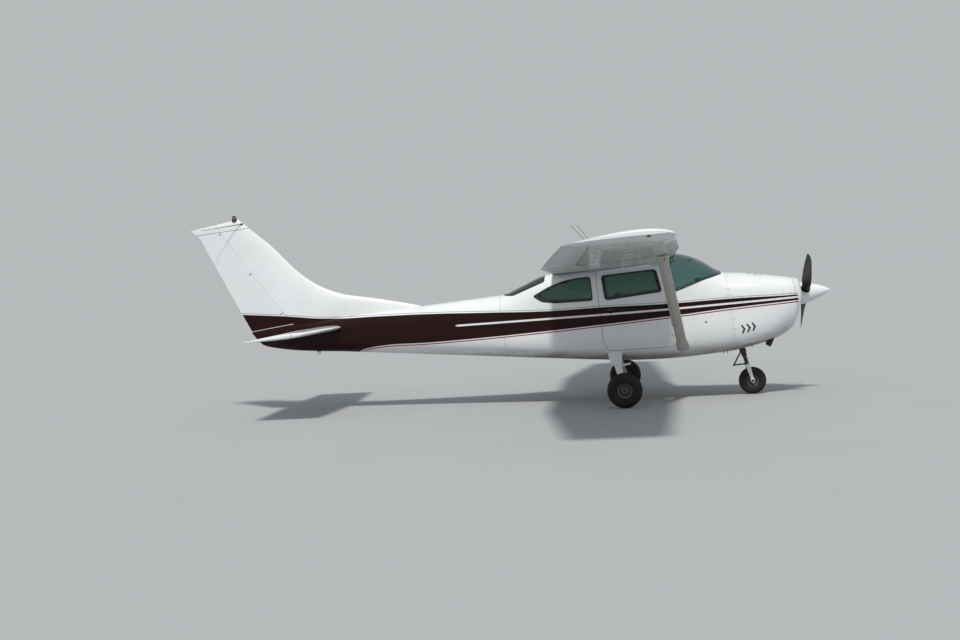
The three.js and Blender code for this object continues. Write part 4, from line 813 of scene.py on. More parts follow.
# Strong darkening of faces that look down: painted shade on the undersides of the wings and the tailplane,
# with grime
wing_paint = paint("wing_paint", frames=0.38, grime_and_shade=0.6, gloss=(0.07, 0.15), wave=0.0012)
beaded_paint = paint("beaded_paint", grime_and_shade=0.5)
strut_paint = paint("strut_paint", white=CREAM, grime_and_shade=0.12, wave=0.0004)
gear_paint = paint("gear_paint", grime_and_shade=0.8, wave=0.0004)
spinner_paint = paint("spinner_paint", grime_and_shade=0.3)
cabin_glass = glass("cabin_glass", (0.19, 0.31, 0.27), (0.50, 0.66, 0.60))
windshield_glass = glass("windshield_glass", (0.34, 0.50, 0.49), (0.66, 0.78, 0.75))
beacon_lens = lens("beacon_lens", (0.075, 0.004, 0.004), 0.1)
red_lens = lens("red_lens", (0.16, 0.006, 0.005))
green_lens = lens("green_lens", (0.004, 0.050, 0.020))
clear_lens = lens("clear_lens", (0.75, 0.78, 0.80))
tyre_rubber = rubber("tyre_rubber")
seat_cloth = cloth("seat_cloth", (0.19, 0.13, 0.10), (0.26, 0.19, 0.15))
# Painted shade: a near-black surface for the walls of gaps, slots and holes that the cuts leave
gap_shade = plain_surface("gap_shade", (0.02, 0.02, 0.02), (0.05, 0.045, 0.04), (0.7, 0.9))
seal_rubber = plain_surface("seal_rubber", (0.010, 0.011, 0.011), (0.030, 0.030, 0.030), (0.45, 0.7))
lining_cloth = plain_surface("lining_cloth", (0.36, 0.33, 0.28), (0.28, 0.255, 0.22), (0.8, 0.95), scale=25,
                             grain=0.0008)
hub_alloy = plain_surface("hub_alloy", (0.20, 0.165, 0.145), (0.11, 0.075, 0.06), (0.4, 0.65), metal=0.5,
                          scale=40, worn=(0.07, 0.035, 0.025))
bright_metal = plain_surface("bright_metal", (0.62, 0.62, 0.63), (0.45, 0.45, 0.46), (0.12, 0.3), metal=1.0)
dark_metal = plain_surface("dark_metal", (0.03, 0.03, 0.032), (0.075, 0.07, 0.065), (0.35, 0.6), metal=0.4)
prop_black = plain_surface("prop_black", (0.006, 0.006, 0.007), (0.014, 0.014, 0.015), (0.55, 0.75), scale=30,
                           worn=(0.04, 0.04, 0.04))
exhaust_metal = plain_surface("exhaust_metal", (0.030, 0.024, 0.020), (0.075, 0.050, 0.037), (0.55, 0.8),
                              metal=0.7, scale=25)
engine_metal = plain_surface("engine_metal", (0.10, 0.10, 0.10), (0.22, 0.21, 0.20), (0.45, 0.7), metal=0.6)
firewall_steel = plain_surface("firewall_steel", (0.45, 0.45, 0.46), (0.33, 0.32, 0.31), (0.3, 0.5),
                               metal=1.0)
black_plastic = plain_surface("black_plastic", (0.014, 0.014, 0.015), (0.028, 0.028, 0.028), (0.5, 0.7),
                              scale=200, grain=0.0004)
armrest_vinyl = plain_surface("armrest_vinyl", (0.10, 0.075, 0.06), (0.13, 0.10, 0.08), (0.5, 0.7), scale=90)
hood_vinyl = plain_surface("hood_vinyl", (0.016, 0.015, 0.014), (0.028, 0.026, 0.024), (0.6, 0.8), scale=150)
carpet = plain_surface("carpet", (0.10, 0.085, 0.07), (0.15, 0.13, 0.11), (0.9, 1.0), scale=220, grain=0.003)
panel_grey = plain_surface("panel_grey", (0.045, 0.047, 0.05), (0.07, 0.072, 0.075), (0.55, 0.75), scale=120)
dial_black = plain_surface("dial_black", (0.006, 0.006, 0.006), (0.010, 0.010, 0.010), (0.25, 0.4))
dial_white = plain_surface("dial_white", (0.75, 0.75, 0.72), (0.65, 0.65, 0.62), (0.5, 0.6))
knob_red = plain_surface("knob_red", (0.30, 0.02, 0.015), (0.22, 0.015, 0.012), (0.3, 0.45))
blue_knob = plain_surface("blue_knob", (0.02, 0.05, 0.20), (0.02, 0.04, 0.15), (0.3, 0.45))
cover_yellow = plain_surface("cover_yellow", (0.55, 0.36, 0.03), (0.45, 0.30, 0.03), (0.4, 0.55))
step_grip = plain_surface("step_grip", (0.012, 0.012, 0.012), (0.04, 0.04, 0.04), (0.85, 0.95), scale=500,
                          grain=0.002)


# Fuselage

def reach_at(share, power):
    """How far a rounded quarter still reaches one way, where it has gone a share of the other way."""
    return max(0.0, 1 - min(1.0, abs(share)) ** power) ** (1 / power)


def side_y(x, z):
    """The half width of the fuselage's surface at an x and a height."""
    top, bottom, half, widest, upper, lower = sections_at(x)[0]
    if z > widest:
        return half * reach_at((z - widest) / (top - widest), upper)
    return half * reach_at((widest - z) / (widest - bottom), lower)


def top_z(x, y):
    top, _, half, widest, power, _ = sections_at(x)[0]
    return widest + (top - widest) * reach_at(y / half, power)


def bottom_z(x, y):
    _, bottom, half, widest, _, power = sections_at(x)[0]
    return widest - (widest - bottom) * reach_at(y / half, power)


def side_spot(x, z):
    """A point of the fuselage's port side and the direction out of it."""
    step = 4 * MM
    slope_x = (side_y(x + step, z) - side_y(x - step, z)) / (2 * step)
    slope_z = (side_y(x, z + step) - side_y(x, z - step)) / (2 * step)
    return np.array([x, side_y(x, z), z]), unit([-slope_x, 1, -slope_z])


def top_spot(x, y):
    return np.array([x, y, top_z(x, y)]), UP


def studs(spots, radius=6 * MM, height=1.6 * MM):
    """Fastener heads at points, each with the direction out of the surface."""
    return joined(*[bar(at - out * 2 * MM, at + out * height, radius, 16, bevel=height * 0.6)
                    for at, out in spots])


def knuckles(foot, direction, distances, radius, length):
    """The fixed and the moving knuckles of a hinge, with its pin, at distances along it."""
    foot, direction = np.asarray(foot, float), unit(direction)
    fixed, moving = [], []
    for at in distances:
        ends = [foot + direction * (at + shift) for shift in (-length, -CLEAR, CLEAR, length)]
        fixed.append(bar(ends[0], ends[1], radius, 20, bevel=1.5 * MM))
        moving.append(bar(ends[2], ends[3], radius, 20, bevel=1.5 * MM))
        fixed.append(bar(ends[0] - direction * 2 * MM, ends[3] + direction * 2 * MM, radius * 0.45, 12))
    return joined(*fixed), joined(*moving)


def hinge_rooms(foot, direction, distances, half, radius, sides):
    """Room round a hinge's knuckles."""
    return [pin(foot + direction * at, direction, half, radius, sides) for at in distances]


def window_holes():
    """Cutters for the windows and the doors' openings."""
    tools = [plate(outline, -THROUGH, THROUGH, SHIELD_CORNER) for outline in (WINDSHIELD, REAR_WINDOW)]
    for low, high in ((WITHIN, THROUGH), (-THROUGH, -WITHIN)):
        tools.append(plate(SIDE_WINDOW, low, high, SIDE_CORNER))
        tools.append(plate(widened(DOOR, MOVING_GAP), low, high, OPENING_CORNER))
    return tools + [plate(widened(BAGGAGE_DOOR, MOVING_GAP), WITHIN, THROUGH, OPENING_CORNER)]


BAGGAGE_HINGE, BAGGAGE_KNUCKLES = np.array([-3.787, 0.4973, 0.0]), (1.170, 1.400)


def baggage_rooms():
    return hinge_rooms(BAGGAGE_HINGE, UP, BAGGAGE_KNUCKLES, 39 * MM, 10.8 * MM, 24)


def make_cabin():
    outer = cut(skin(CABIN_FRONT, CABIN_BACK, 0, PAINT_SKIN), *window_holes(), *baggage_rooms())
    place("cabin_skin", outer, [body_paint, gap_shade], "cabin_shell")
    inner = cut(skin(CABIN_FRONT - 0.006, CABIN_BACK + 0.015, PAINT_SKIN + CLEAR, LINING), *window_holes())
    place("cabin_lining", inner, [lining_cloth, gap_shade], slot="seat_cloth")


def seal(outline, corner, out, into, low=WITHIN):
    """A rubber strip that follows the fuselage's surface round a window."""
    strip = common(skin(-1.356, -4.338, -0.0012, 0.010),
                   plate(widened(outline, out), low, THROUGH, corner + out))
    return cut(strip, plate(widened(outline, -into), low - 0.1, THROUGH + 0.1, corner - into))


def pane(outline, corner, low=WITHIN):
    return common(skin(-1.3565, -4.3375, 0.0015, 0.0065), plate(widened(outline, -MM), low, THROUGH, corner))


def make_glass():
    for name, outline, material, out, into in (("windshield", WINDSHIELD, windshield_glass, 0.004, 0.006),
                                               ("rear_window", REAR_WINDOW, cabin_glass, 0.005, 0.010)):
        place(name + "_pane", pane(outline, SHIELD_CORNER, -THROUGH), material, name)
        place(name + "_seal", seal(outline, SHIELD_CORNER, out, into, -THROUGH), seal_rubber)
    for name, outline, corner, out, into, node, body in (
            ("side", SIDE_WINDOW, SIDE_CORNER, 0.005, 0.011, "side_window_", "airframe"),
            ("door", DOOR_WINDOW, DOOR_WINDOW_CORNER, 0.008, 0.014, "door_glass_", "door_")):
        place_both(name + "_pane", pane(outline, corner), cabin_glass, node, body)
        place_both(name + "_seal", seal(outline, corner, out, into), seal_rubber, body=body)


HANDLE, BAGGAGE_LATCH = (-2.888, 1.394), (-4.150, 1.300)  # x and z


def make_doors():
    door = common(skin(-1.9, -3.2, 0, PAINT_SKIN, 0.04), plate(DOOR, WITHIN, THROUGH, DOOR_CORNER))
    door = cut(door, plate(DOOR_WINDOW, 0.1, 0.9, DOOR_WINDOW_CORNER))
    handle_room = common(skin(-2.7, -3.0, -0.01, 0.009),
                         block((-2.945, 0.3, 1.375), (-2.830, 0.7, 1.412), 0.016))
    place_both("door_skin", cut(door, handle_room), [body_paint, gap_shade], "door_", "door_")
    inner = common(skin(-1.9, -3.2, PAINT_SKIN + CLEAR, LINING, 0.06),
                   plate(widened(DOOR, -2 * MM), 0.462, THROUGH, DOOR_CORNER))
    inner = cut(inner, plate(widened(DOOR_WINDOW, -2 * MM), 0.1, 0.9, DOOR_WINDOW_CORNER))
    place_both("door_lining", inner, [lining_cloth, gap_shade], body="door_")
    y = side_y(*HANDLE)
    lever = block((-2.938, y - 0.004, 1.384), (-2.842, y + 0.004, 1.404), 0.009)
    lock = studs([side_spot(-2.888, 1.345)], 0.010, 0.002)
    place_both("door_lever", joined(lever, lock), dark_metal, body="door_")
    armrest = joined(block((-2.80, 0.462, 1.260), (-2.36, 0.520, 1.315), 0.02),
                     block((-2.78, 0.485, 0.930), (-2.40, 0.520, 1.120), 0.02))
    place_both("door_armrest", armrest, armrest_vinyl, body="door_")
    inner_lever = joined(bar((-2.33, 0.530, 1.385), (-2.33, 0.488, 1.385), 0.012, 20, bevel=0.002),
                         tube([(-2.33, 0.492, 1.385), (-2.37, 0.488, 1.383), (-2.43, 0.490, 1.376)], 0.007))
    place_both("door_inner_lever", inner_lever, bright_metal, body="door_")
    fixed, moving = knuckles((-2.131, 0.563, 0), UP, (1.010, 1.430), 0.011, 0.045)
    place_both("door_hinge_fixed", fixed, gear_paint)
    place_both("door_hinge_moving", moving, gear_paint, body="door_")


def make_baggage_door():
    baggage = common(skin(-3.7, -4.3, 0, PAINT_SKIN, 0.04), plate(BAGGAGE_DOOR, WITHIN, THROUGH, DOOR_CORNER))
    place("baggage_door_skin", cut(baggage, *baggage_rooms()), [body_paint, gap_shade], "baggage_door",
          "baggage_door")
    y = side_y(*BAGGAGE_LATCH)
    latch = joined(studs([side_spot(*BAGGAGE_LATCH)], 0.021, 0.002),
                   block((-4.162, y - 0.002, 1.291), (-4.112, y + 0.007, 1.307), 0.006),
                   studs([side_spot(-4.150, 1.225)], 0.010, 0.002))
    place("baggage_latch", latch, bright_metal, body="baggage_door")
    fixed, moving = knuckles(BAGGAGE_HINGE, UP, BAGGAGE_KNUCKLES, 0.009, 0.035)
    place("baggage_hinge_fixed", fixed, gear_paint)
    place("baggage_hinge_moving", moving, gear_paint, body="baggage_door")


COWL_SPLIT = np.array([[-380, 1246], [-1380, 1296]]) * MM  # x and z of the ends of the seam's line
SPLIT_GAP = 3 * MM
FLAP_FRONT, FLAP_BACK, FLAP_INNER, FLAP_OUTER = -1130 * MM, -1346 * MM, 85 * MM, 310 * MM
COWL_FLAP_HINGE, COWL_FLAP_KNUCKLES = np.array([-1.127, 0, 0.6475]), (0.120, 0.180)
OIL_FRONT, OIL_BACK, OIL_INNER, OIL_OUTER = -900 * MM, -1060 * MM, -110 * MM, -290 * MM
OIL_HINGE = np.array([[-0.900, -0.1075, 1.5731], [-1.060, -0.1075, 1.6072]])
OIL_KNUCKLES = (0.045, 0.125)
INTAKE_Y, INTAKE_Z, INTAKE_HALF_WIDTH, INTAKE_HALF_HEIGHT = 225 * MM, 1267 * MM, 92 * MM, 62 * MM
CHIN_INTAKE = np.array([[-115, 1005], [115, 1005], [115, 1075], [-115, 1075]]) * MM
LOUVRE_TIPS = np.array([[-1206, 902], [-1136, 909], [-1068, 918]]) * MM


def intake_ring(side, grow, x):
    angle = full_turn(64)
    return at_x(x, side * INTAKE_Y + (INTAKE_HALF_WIDTH + grow) * np.cos(angle),
                INTAKE_Z + (INTAKE_HALF_HEIGHT + grow) * np.sin(angle))


def split_z(x):
    return np.interp(-x, -COWL_SPLIT[:, 0], COWL_SPLIT[:, 1])


def arrow(tip_x, tip_z, width=21 * MM):
    """The outline of an arrowhead stroke that points forward."""
    back, rise = tip_x - 34 * MM, 56 * MM
    return [[tip_x, tip_z], [back, tip_z + rise], [back - width, tip_z + rise], [tip_x - width * 1.3, tip_z],
            [back - width, tip_z - rise], [back, tip_z - rise]]


def make_bowl():
    outer_xs = stations(COWL_FRONT, BOWL_BACK, 0.02)
    inner_xs = stations(COWL_FRONT - 0.012, BOWL_BACK, 0.02)
    bowl = loft(np.concatenate([fuselage_rings(outer_xs), fuselage_rings(inner_xs, 0.012)[::-1]]))
    holes = [loft([intake_ring(side, 0, x) for x in (-0.37, -0.52)]) for side in (1, -1)]
    bowl = cut(bowl, bar((-0.38, 0, PROP_AXIS_Z), (-0.52, 0, PROP_AXIS_Z), 0.095, 64), *holes,
               plate(CHIN_INTAKE, -0.52, -0.36, 0.03, 0))
    place("bowl_skin", bowl, cowl_paint, "nose_bowl")
    lip = ((0.0, -0.418), (-0.006, -0.424), (-0.008, -0.440), (-0.006, -0.495), (0.0, -0.495), (0.002, -0.44))
    lips = [loft([intake_ring(side, grow, x) for grow, x in lip], loop=True) for side in (1, -1)]
    place("intake_lips", joined(*lips), seal_rubber)
    chin = [block((-0.560, -0.112, 1.006), (-0.521, 0.112, 1.074))]
    chin += [block((-0.520, -0.112, z - 0.003), (-0.492, 0.112, z + 0.003))
             for z in np.linspace(1.012, 1.068, 5)]
    chin += [block((-0.520, y - 0.002, 1.007), (-0.500, y + 0.002, 1.073))
             for y in np.linspace(-0.1, 0.1, 9)]
    place("chin_filter", joined(*chin), dark_metal)


def louvres(outset, depth, shift=0.0, width=21 * MM):
    layer = skin(-1.0, -1.30, outset, depth, 0.03)
    return [common(layer, plate(arrow(x + shift, z, width), 0.3, 0.7)) for x, z in LOUVRE_TIPS]


def make_cowl():
    layer = skin(BOWL_BACK - 0.004, COWL_BACK, 0, 0.010, 0.04)
    (front_x, front_z), (back_x, back_z) = COWL_SPLIT
    above = plate([[front_x, front_z], [back_x, back_z], [back_x, 2.0], [front_x, 2.0]], -0.9, 0.9)
    below = plate([[front_x, 0.3], [back_x, 0.3], [back_x, back_z - SPLIT_GAP],
                   [front_x, front_z - SPLIT_GAP]], -0.9, 0.9)
    upper, lower = common(layer, above), common(layer, below)
    # The slots' walls get the cowl's second material, the painted shade of the gaps
    slots = louvres(-0.004, 0.008)
    rooms = [pin(COWL_FLAP_HINGE + side * at, side, 32 * MM, 10.8 * MM, 24)
             for at in COWL_FLAP_KNUCKLES for side in (OUT, -OUT)]
    lower = cut(lower, block((-1.400, -0.062, 0.560), (-1.170, 0.062, 0.760)),
                bar((-0.840, -0.225, 0.800), (-0.940, -0.225, 0.600), 0.052),
                *slots, *[mirrored(slot) for slot in slots], *rooms)

    def flap_box(grow, side):
        low, high = sorted((side * (FLAP_INNER - grow), side * (FLAP_OUTER + grow)))
        return block((FLAP_BACK - (0.06 if grow else 0), low, 0.4), (FLAP_FRONT + grow, high, 0.76))

    def lid(grow):
        return block((OIL_BACK - grow, OIL_OUTER - grow, 1.3), (OIL_FRONT + grow, OIL_INNER + grow, 1.7))

    cowl = [cowl_paint, gap_shade]
    for side, sign in SIDES:
        place("cowl_flap_skin_" + side, common(lower, flap_box(0, sign)), cowl, "cowl_flap_" + side,
              "cowl_flap_" + side)
    lower = cut(lower, *[flap_box(SURFACE_GAP, sign) for _, sign in SIDES])
    hinge_way = unit(OIL_HINGE[1] - OIL_HINGE[0])
    rooms = hinge_rooms(OIL_HINGE[0], hinge_way, OIL_KNUCKLES, 26 * MM, 7.5 * MM, 20)
    place("oil_door_skin", cut(common(upper, lid(0)), *rooms), cowl, "oil_door", "oil_door")
    place("upper_cowl_skin", cut(upper, lid(4 * MM), *rooms), cowl, "upper_cowl")
    place("lower_cowl_skin", lower, cowl, "lower_cowl")
    fixed, moving = knuckles(COWL_FLAP_HINGE, OUT, COWL_FLAP_KNUCKLES, 0.009, 0.028)
    place_both("cowl_flap_hinge_fixed", fixed, dark_metal)
    place_both("cowl_flap_hinge_moving", moving, dark_metal, body="cowl_flap_")
    fixed, moving = knuckles(OIL_HINGE[0], hinge_way, OIL_KNUCKLES, 0.006, 0.022)
    place("oil_hinge_fixed", fixed, dark_metal)
    place("oil_hinge_moving", moving, dark_metal, body="oil_door")
    place("oil_latch", studs([top_spot(-0.98, -0.270)], 0.013, 0.0025), bright_metal, body="oil_door")


def make_cowl_details():
    place_both("louvre_lips", joined(*louvres(-0.0045, 0.001, 0.006, 0.004)), cowl_paint)
    seam_xs = (-1.330, -1.376)
    spots = [side_spot(x, split_z(x) + shift)
             for x in np.linspace(-0.56, -1.30, 8) for shift in (0.026, -0.026)]
    spots += [side_spot(x, z) for x in seam_xs for z in (0.80, 0.92, 1.05, 1.17, 1.36, 1.45)]
    place_both("cowl_studs", studs(spots, 0.0065), bright_metal)
    tops = [top_spot(x, y) for x in seam_xs for y in np.linspace(-0.3, 0.3, 7)]
    place("cowl_top_studs", studs(tops, 0.0065), bright_metal)
    at, out = side_spot(-1.695, 1.061)
    port = joined(ring_of(at, out, 0.010, 0.003, 24), bar(at - out * 0.004, at + out * CLEAR, 0.008, 20))
    place_both("vent_port", port, dark_metal)
    feet = [np.array([x, 0.33, bottom_z(x, 0.33)]) for x in (-1.455, -1.500)]
    drains = [bar(foot + [0, 0, 0.020], foot - [0.015, 0, 0.030], 0.005, 16) for foot in feet]
    place_both("drains", joined(*drains), dark_metal)


CYLINDER_XS = ((1, (-0.735, -0.930, -1.125)), (-1, (-0.790, -0.985, -1.180)))  # to port, to starboard
FIN_PITCH, FIN_COUNT, BARREL, FIN_RADIUS = 9 * MM, 20, 62 * MM, 80 * MM
EXHAUST = np.array([(-850, -225, 1054), (-850, -225, 900), (-852, -225, 790), (-877, -225, 705),
                    (-925, -225, 628)]) * MM


def make_engine():
    """A flat six-cylinder engine and its baffle."""
    case = joined(block((-1.270, -0.100, 1.125), (-0.620, 0.100, 1.330), 0.03),
                  block((-1.180, -0.200, 0.900), (-0.720, 0.200, 1.100), 0.04),
                  bar((-0.640, 0, PROP_AXIS_Z), (-0.395, 0, PROP_AXIS_Z), 0.055, 32, bevel=0.004),
                  bar((-0.985, -0.195, 1.330), (-0.985, -0.195, 1.440), 0.020, 24))
    place("engine_case", case, engine_metal, "engine")
    profile = [(0, 0.09), (BARREL, 0.09)]
    for y in 0.125 + FIN_PITCH * np.arange(FIN_COUNT):
        profile += [(BARREL, y), (FIN_RADIUS, y + 0.001), (FIN_RADIUS, y + 0.003), (BARREL, y + 0.004)]
    profile += [(BARREL, 0.318), (0, 0.318)]
    cylinders, covers = [], []
    for side, xs in CYLINDER_XS:
        low, high = sorted((side * 0.316, side * 0.360))
        for x in xs:
            cylinders.append(turned(profile, (x, 0, 1.222), (0, side, 0), 32))
            covers.append(block((x - 0.050, low, 1.160), (x + 0.050, high, 1.290), 0.02))
            rise = [(x, side * 0.12, 1.33), (x - 0.01, side * 0.2, 1.355), (x, side * 0.31, 1.30)]
            covers.append(tube(rise, 0.012))
    place("engine_cylinders", joined(*cylinders), engine_metal)
    place("engine_covers", joined(*covers), dark_metal)
    cap = bar((-0.985, -0.195, 1.440), (-0.985, -0.195, 1.462), 0.026, 12, bevel=0.004)
    place("oil_cap", cap, cover_yellow)
    baffle = cut(block((-0.630, -0.355, 1.090), (-0.622, 0.355, 1.420)),
                 block((-0.65, -0.33, 1.13), (-0.60, -0.12, 1.36)),
                 block((-0.65, 0.12, 1.13), (-0.60, 0.33, 1.36)))
    place("engine_baffle", baffle, dark_metal)


def make_exhaust():
    inside =EXHAUST + np.outer([0, 0, 0, 0, 1], (-0.008, 0, -0.012))
    pipe = cut(tube(EXHAUST, 0.038, 40, 12), tube(inside, 0.0335, 40, 12), mark=2)
    flange = ring_of((-0.8665, -0.225, 0.7375), (-0.31, 0, -0.95), 0.041, 0.005, 40)
    place("exhaust_tube", joined(pipe, flange), [exhaust_metal, exhaust_metal, gap_shade], "exhaust_pipe")


def make_tail_cone():
    front = CABIN_BACK - 3 * MM
    cone = loft(np.concatenate([fuselage_rings(stations(front, TAIL_END, 0.06))[::-1],
                                fuselage_rings(stations(front, -7.4, 0.06), 0.007)]))
    place("tail_cone_skin", cone, [body_paint, gap_shade], "tail_cone", slot="maroon_paint")
    place("tail_light", ball((-7.856, 0, 1.738), (0.016, 0.020, 0.020)), clear_lens)
    place("tail_light_rim", ring_of((-7.853, 0, 1.738), (1, 0, 0), 0.021, 0.003), dark_metal)
    tie = joined(ring_of((-6.965, 0, bottom_z(-6.965, 0) - 0.018), OUT, 0.016, 0.0045),
                 block((-6.995, -0.010, 1.362), (-6.935, 0.010, 1.378), 0.004))
    place("tail_tie_down", tie, dark_metal)
    place_both("tail_covers", studs([side_spot(-6.30, 1.60), side_spot(-6.72, 1.66)], 0.052), body_paint)


# Hinged surfaces

def aerofoil(chord, ratio, camber=0.0, steps=30):
    """Distances behind the leading edge and heights, from the upper trailing edge round to the lower."""
    i = np.arange(-steps, steps + 1)
    s = (1 - np.cos(np.pi * np.abs(i) / steps)) / 2
    half = 5 * ratio * (0.2969 * np.sqrt(s) - 0.126 * s - 0.3516 * s ** 2 + 0.2843 * s ** 3 - 0.1015 * s ** 4)
    peak = 0.4
    line = np.where(s < peak, camber / peak ** 2 * (2 * peak * s - s ** 2),
                    camber / (1 - peak) ** 2 * (1 - 2 * peak + 2 * peak * s - s ** 2))
    return np.column_stack([chord * s, chord * (line - np.sign(i) * half)])


class Hinge:
    """A hinge line with the directions along it, forward of it and across the surface."""

    def __init__(self, start, end):
        self.start, self.end = np.asarray(start, float), np.asarray(end, float)
        self.along = unit(self.end - self.start)
        self.forward = unit(np.array([1.0, 0, 0]) - self.along * self.along[0])
        self.across = np.cross(self.forward, self.along)

    def at(self, share):
        return self.start + (self.end - self.start) * share

    def space(self, radii, grow, lip=0.0, first=math.pi):
        """All that lies behind a round nose about the hinge."""
        angle = np.linspace(first, lip, 25)
        rings = []
        for base, radius in zip((self.start - self.along * grow, self.end + self.along * grow), radii):
            arc = np.column_stack([np.sin(angle), np.cos(angle)]) * (radius + grow)
            outline = np.vstack([[arc[0][0], -FAR], arc, [arc[-1][0], FAR], [-FAR, FAR], [-FAR, -FAR]])
            rings.append(base + np.outer(outline[:, 0], self.forward) + np.outer(outline[:, 1], self.across))
        return loft(rings)

    def plate(self, share, ahead, over, half):
        """A plate across the hinge at a share of its length, between distances ahead of it and over it."""
        corners = np.array([self.at(share) + self.forward * ahead[i] + self.across * over[j]
                            for i, j in ((0, 0), (1, 0), (1, 1), (0, 1))])
        return loft([corners + self.along * distance for distance in (-half, half)])

    def fittings(self, shares, nose, reach=0.09):
        """Slots in a surface's nose, and the arms and bolts in them."""
        slots = [self.plate(share, (-0.014, nose + 0.01), (-nose - 0.02, nose + 0.02), 0.0065)
                 for share in shares]
        arms = []
        for share in shares:
            arms.append(self.plate(share, (0, reach), (-0.008, 0.008), 0.0045))
            arms.append(pin(self.at(share), self.along, 0.0045, 0.008, 24))
            arms.append(pin(self.at(share), self.along, 0.0062, 0.004, 6))
        return slots, joined(*arms)


BEAD_PITCH, BEAD_HEIGHT = 85 * MM, 2.5 * MM
BEAD_EDGES, BEAD_RISES = np.array([-12, -4, 4, 12]) * MM, [0, 1, 1, 0]


def beaded_stations(low, high):
    """Stations along a surface, and its rise at each: a pressed bead at a regular pitch."""
    beads = np.arange(low + BEAD_PITCH / 2, high - 0.02, BEAD_PITCH)
    ys = np.concatenate([[low - 0.05], *[bead + BEAD_EDGES for bead in beads], [high + 0.05]])
    return ys, np.concatenate([[0], np.tile(BEAD_RISES, len(beads)), [0]]) * BEAD_HEIGHT


def with_bead(shape, chord, rise, window):
    """An aerofoil's outline raised on both faces between shares of its chord."""
    over = np.where(np.arange(len(shape)) < len(shape) // 2, 1, -1)
    lift = rise * np.interp(shape[:, 0] / chord, window, BEAD_RISES) * over
    return shape + np.column_stack([np.zeros(len(shape)), lift])


# Wings
ROOT_Y = 460 * MM
WING_BEADS, TAIL_BEADS = (0.83, 0.85, 0.965, 0.985), (0.53, 0.56, 0.955, 0.98)  # shares of the chord
TRACK_SHARES = (0.08, 0.5, 0.92)
COVER_SPOTS = [(y, share) for y in (0.95, 1.55, 2.15, 2.95, 3.6, 4.3, 4.95) for share in (0.38, 0.62)]


def wing_row(y):
    """Leading edge x, chord, incidence, thickness ratio and lift at a station."""
    tip = WING[2:]
    if y > tip[0, 0]:
        return smooth_table(tip[:, 0], tip[:, 1:], y)[0]
    return straight_table(WING[:, 0], WING[:, 1:], y)


def on_wing(y, behind, height):
    leading_x, _, incidence, _, lift = wing_row(y)
    angle = math.radians(incidence)
    rise = (y - DIHEDRAL_FROM_Y) * math.tan(DIHEDRAL) + lift
    behind, height = np.asarray(behind, float), np.asarray(height, float)
    return np.stack([leading_x - behind * math.cos(angle) - height * math.sin(angle),
                     np.full(behind.shape, y),
                     WING_LEADING_Z + rise + height * math.cos(angle) - behind * math.sin(angle)], -1)


def wing_ring(y, rise=0.0):
    _, chord, _, ratio, _ = wing_row(y)
    shape = with_bead(aerofoil(chord, ratio, WING_CAMBER), chord, rise, WING_BEADS)
    return on_wing(y, shape[:, 0], shape[:, 1])


def whole_wing():
    return loft([wing_ring(y) for y in WING_YS])


def wing_face(y, share, over=-1, lift=0.0):
    """A point on the wing's upper face, over 1, or lower face, over -1, and a little out from it."""
    _, chord, _, ratio, _ = wing_row(y)
    shape = aerofoil(chord, ratio, WING_CAMBER, 60)
    face = shape[60::-1] if over > 0 else shape[60:]
    height = np.interp(share * chord, face[:, 0], face[:, 1])
    return on_wing(y, share * chord, height + over * lift)


def flap_hinge():
    chord = wing_row(ROOT_Y)[1]
    return Hinge(*[on_wing(y, FLAP_AXIS * chord, -FLAP_PIVOT) for y in FLAP_YS])


def flap_space(grow):
    chord = wing_row(ROOT_Y)[1]
    radius = FLAP_START * chord - 0.008 + FLAP_PIVOT
    nose = (FLAP_AXIS - FLAP_NOSE) * chord + grow
    lip = 0 if grow > 0 else -SURFACE_GAP / radius
    return flap_hinge().space([radius, radius], grow, lip, math.asin(nose / (radius + grow)))


def aileron_hinge():
    chords = [wing_row(y)[1] for y in AILERON_YS]
    return Hinge(*[on_wing(y, 0.77 * chord, 0.009 * chord) for y, chord in zip(AILERON_YS, chords)])


def beaded_part(ys, space, slots):
    body = loft([wing_ring(y, rise) for y, rise in zip(*beaded_stations(*ys))])
    return cut(common(body, space), *slots)


def make_wings():
    hinge, flap_line = aileron_hinge(), flap_hinge()
    slots, arms = hinge.fittings((0.06, 0.5, 0.94), AILERON_RADII[0])
    tracks = [flap_line.plate(share, (0.09, 0.21), (0.172, 0.2), 0.005) for share in TRACK_SHARES]
    track_slots = [flap_line.plate(share, (0.084, 0.21), (0.06, 0.3), 0.0065) for share in TRACK_SHARES]
    vent = on_wing(0.66, 0.004, -0.018)
    wing = cut(whole_wing(), flap_space(SURFACE_GAP), hinge.space(AILERON_RADII, SURFACE_GAP),
               fuselage(-1.9, -3.8))
    wing = cut(wing, bar(vent + [0.05, 0, 0], vent - [0.06, 0, 0], 0.021, 32), mark=2)
    place_both("wing_skin", wing, [wing_paint, wing_paint, gap_shade], "wing_")
    place_both("flap_skin", beaded_part(FLAP_YS, flap_space(0), track_slots), beaded_paint, "flap_", "flap_")
    aileron = beaded_part(AILERON_YS, hinge.space(AILERON_RADII, 0), slots)
    place_both("aileron_skin", aileron, beaded_paint, "aileron_", "aileron_")
    place_both("aileron_arms", arms, gear_paint)
    place_both("flap_tracks", joined(*tracks), dark_metal)
    place_both("root_vent", ring_of(vent + [0.006, 0, 0], (1, 0, 0), 0.023, 0.0035), bright_metal)


def make_fuel_caps():
    at = wing_face(1.2, 0.23, 1)
    profile = [(0, 0), (0.040, 0), (0.040, 0.003), (0.034, 0.005), (0.026, 0.005), (0.024, 0.0035),
               (0, 0.0035)]
    cap = joined(turned(profile, at - [0, 0, 0.0015], UP, 40),
                 block(at + [-0.020, -0.004, 0.001], at + [0.020, 0.004, 0.008], 0.003))
    place_both("fuel_cap", cap, bright_metal)


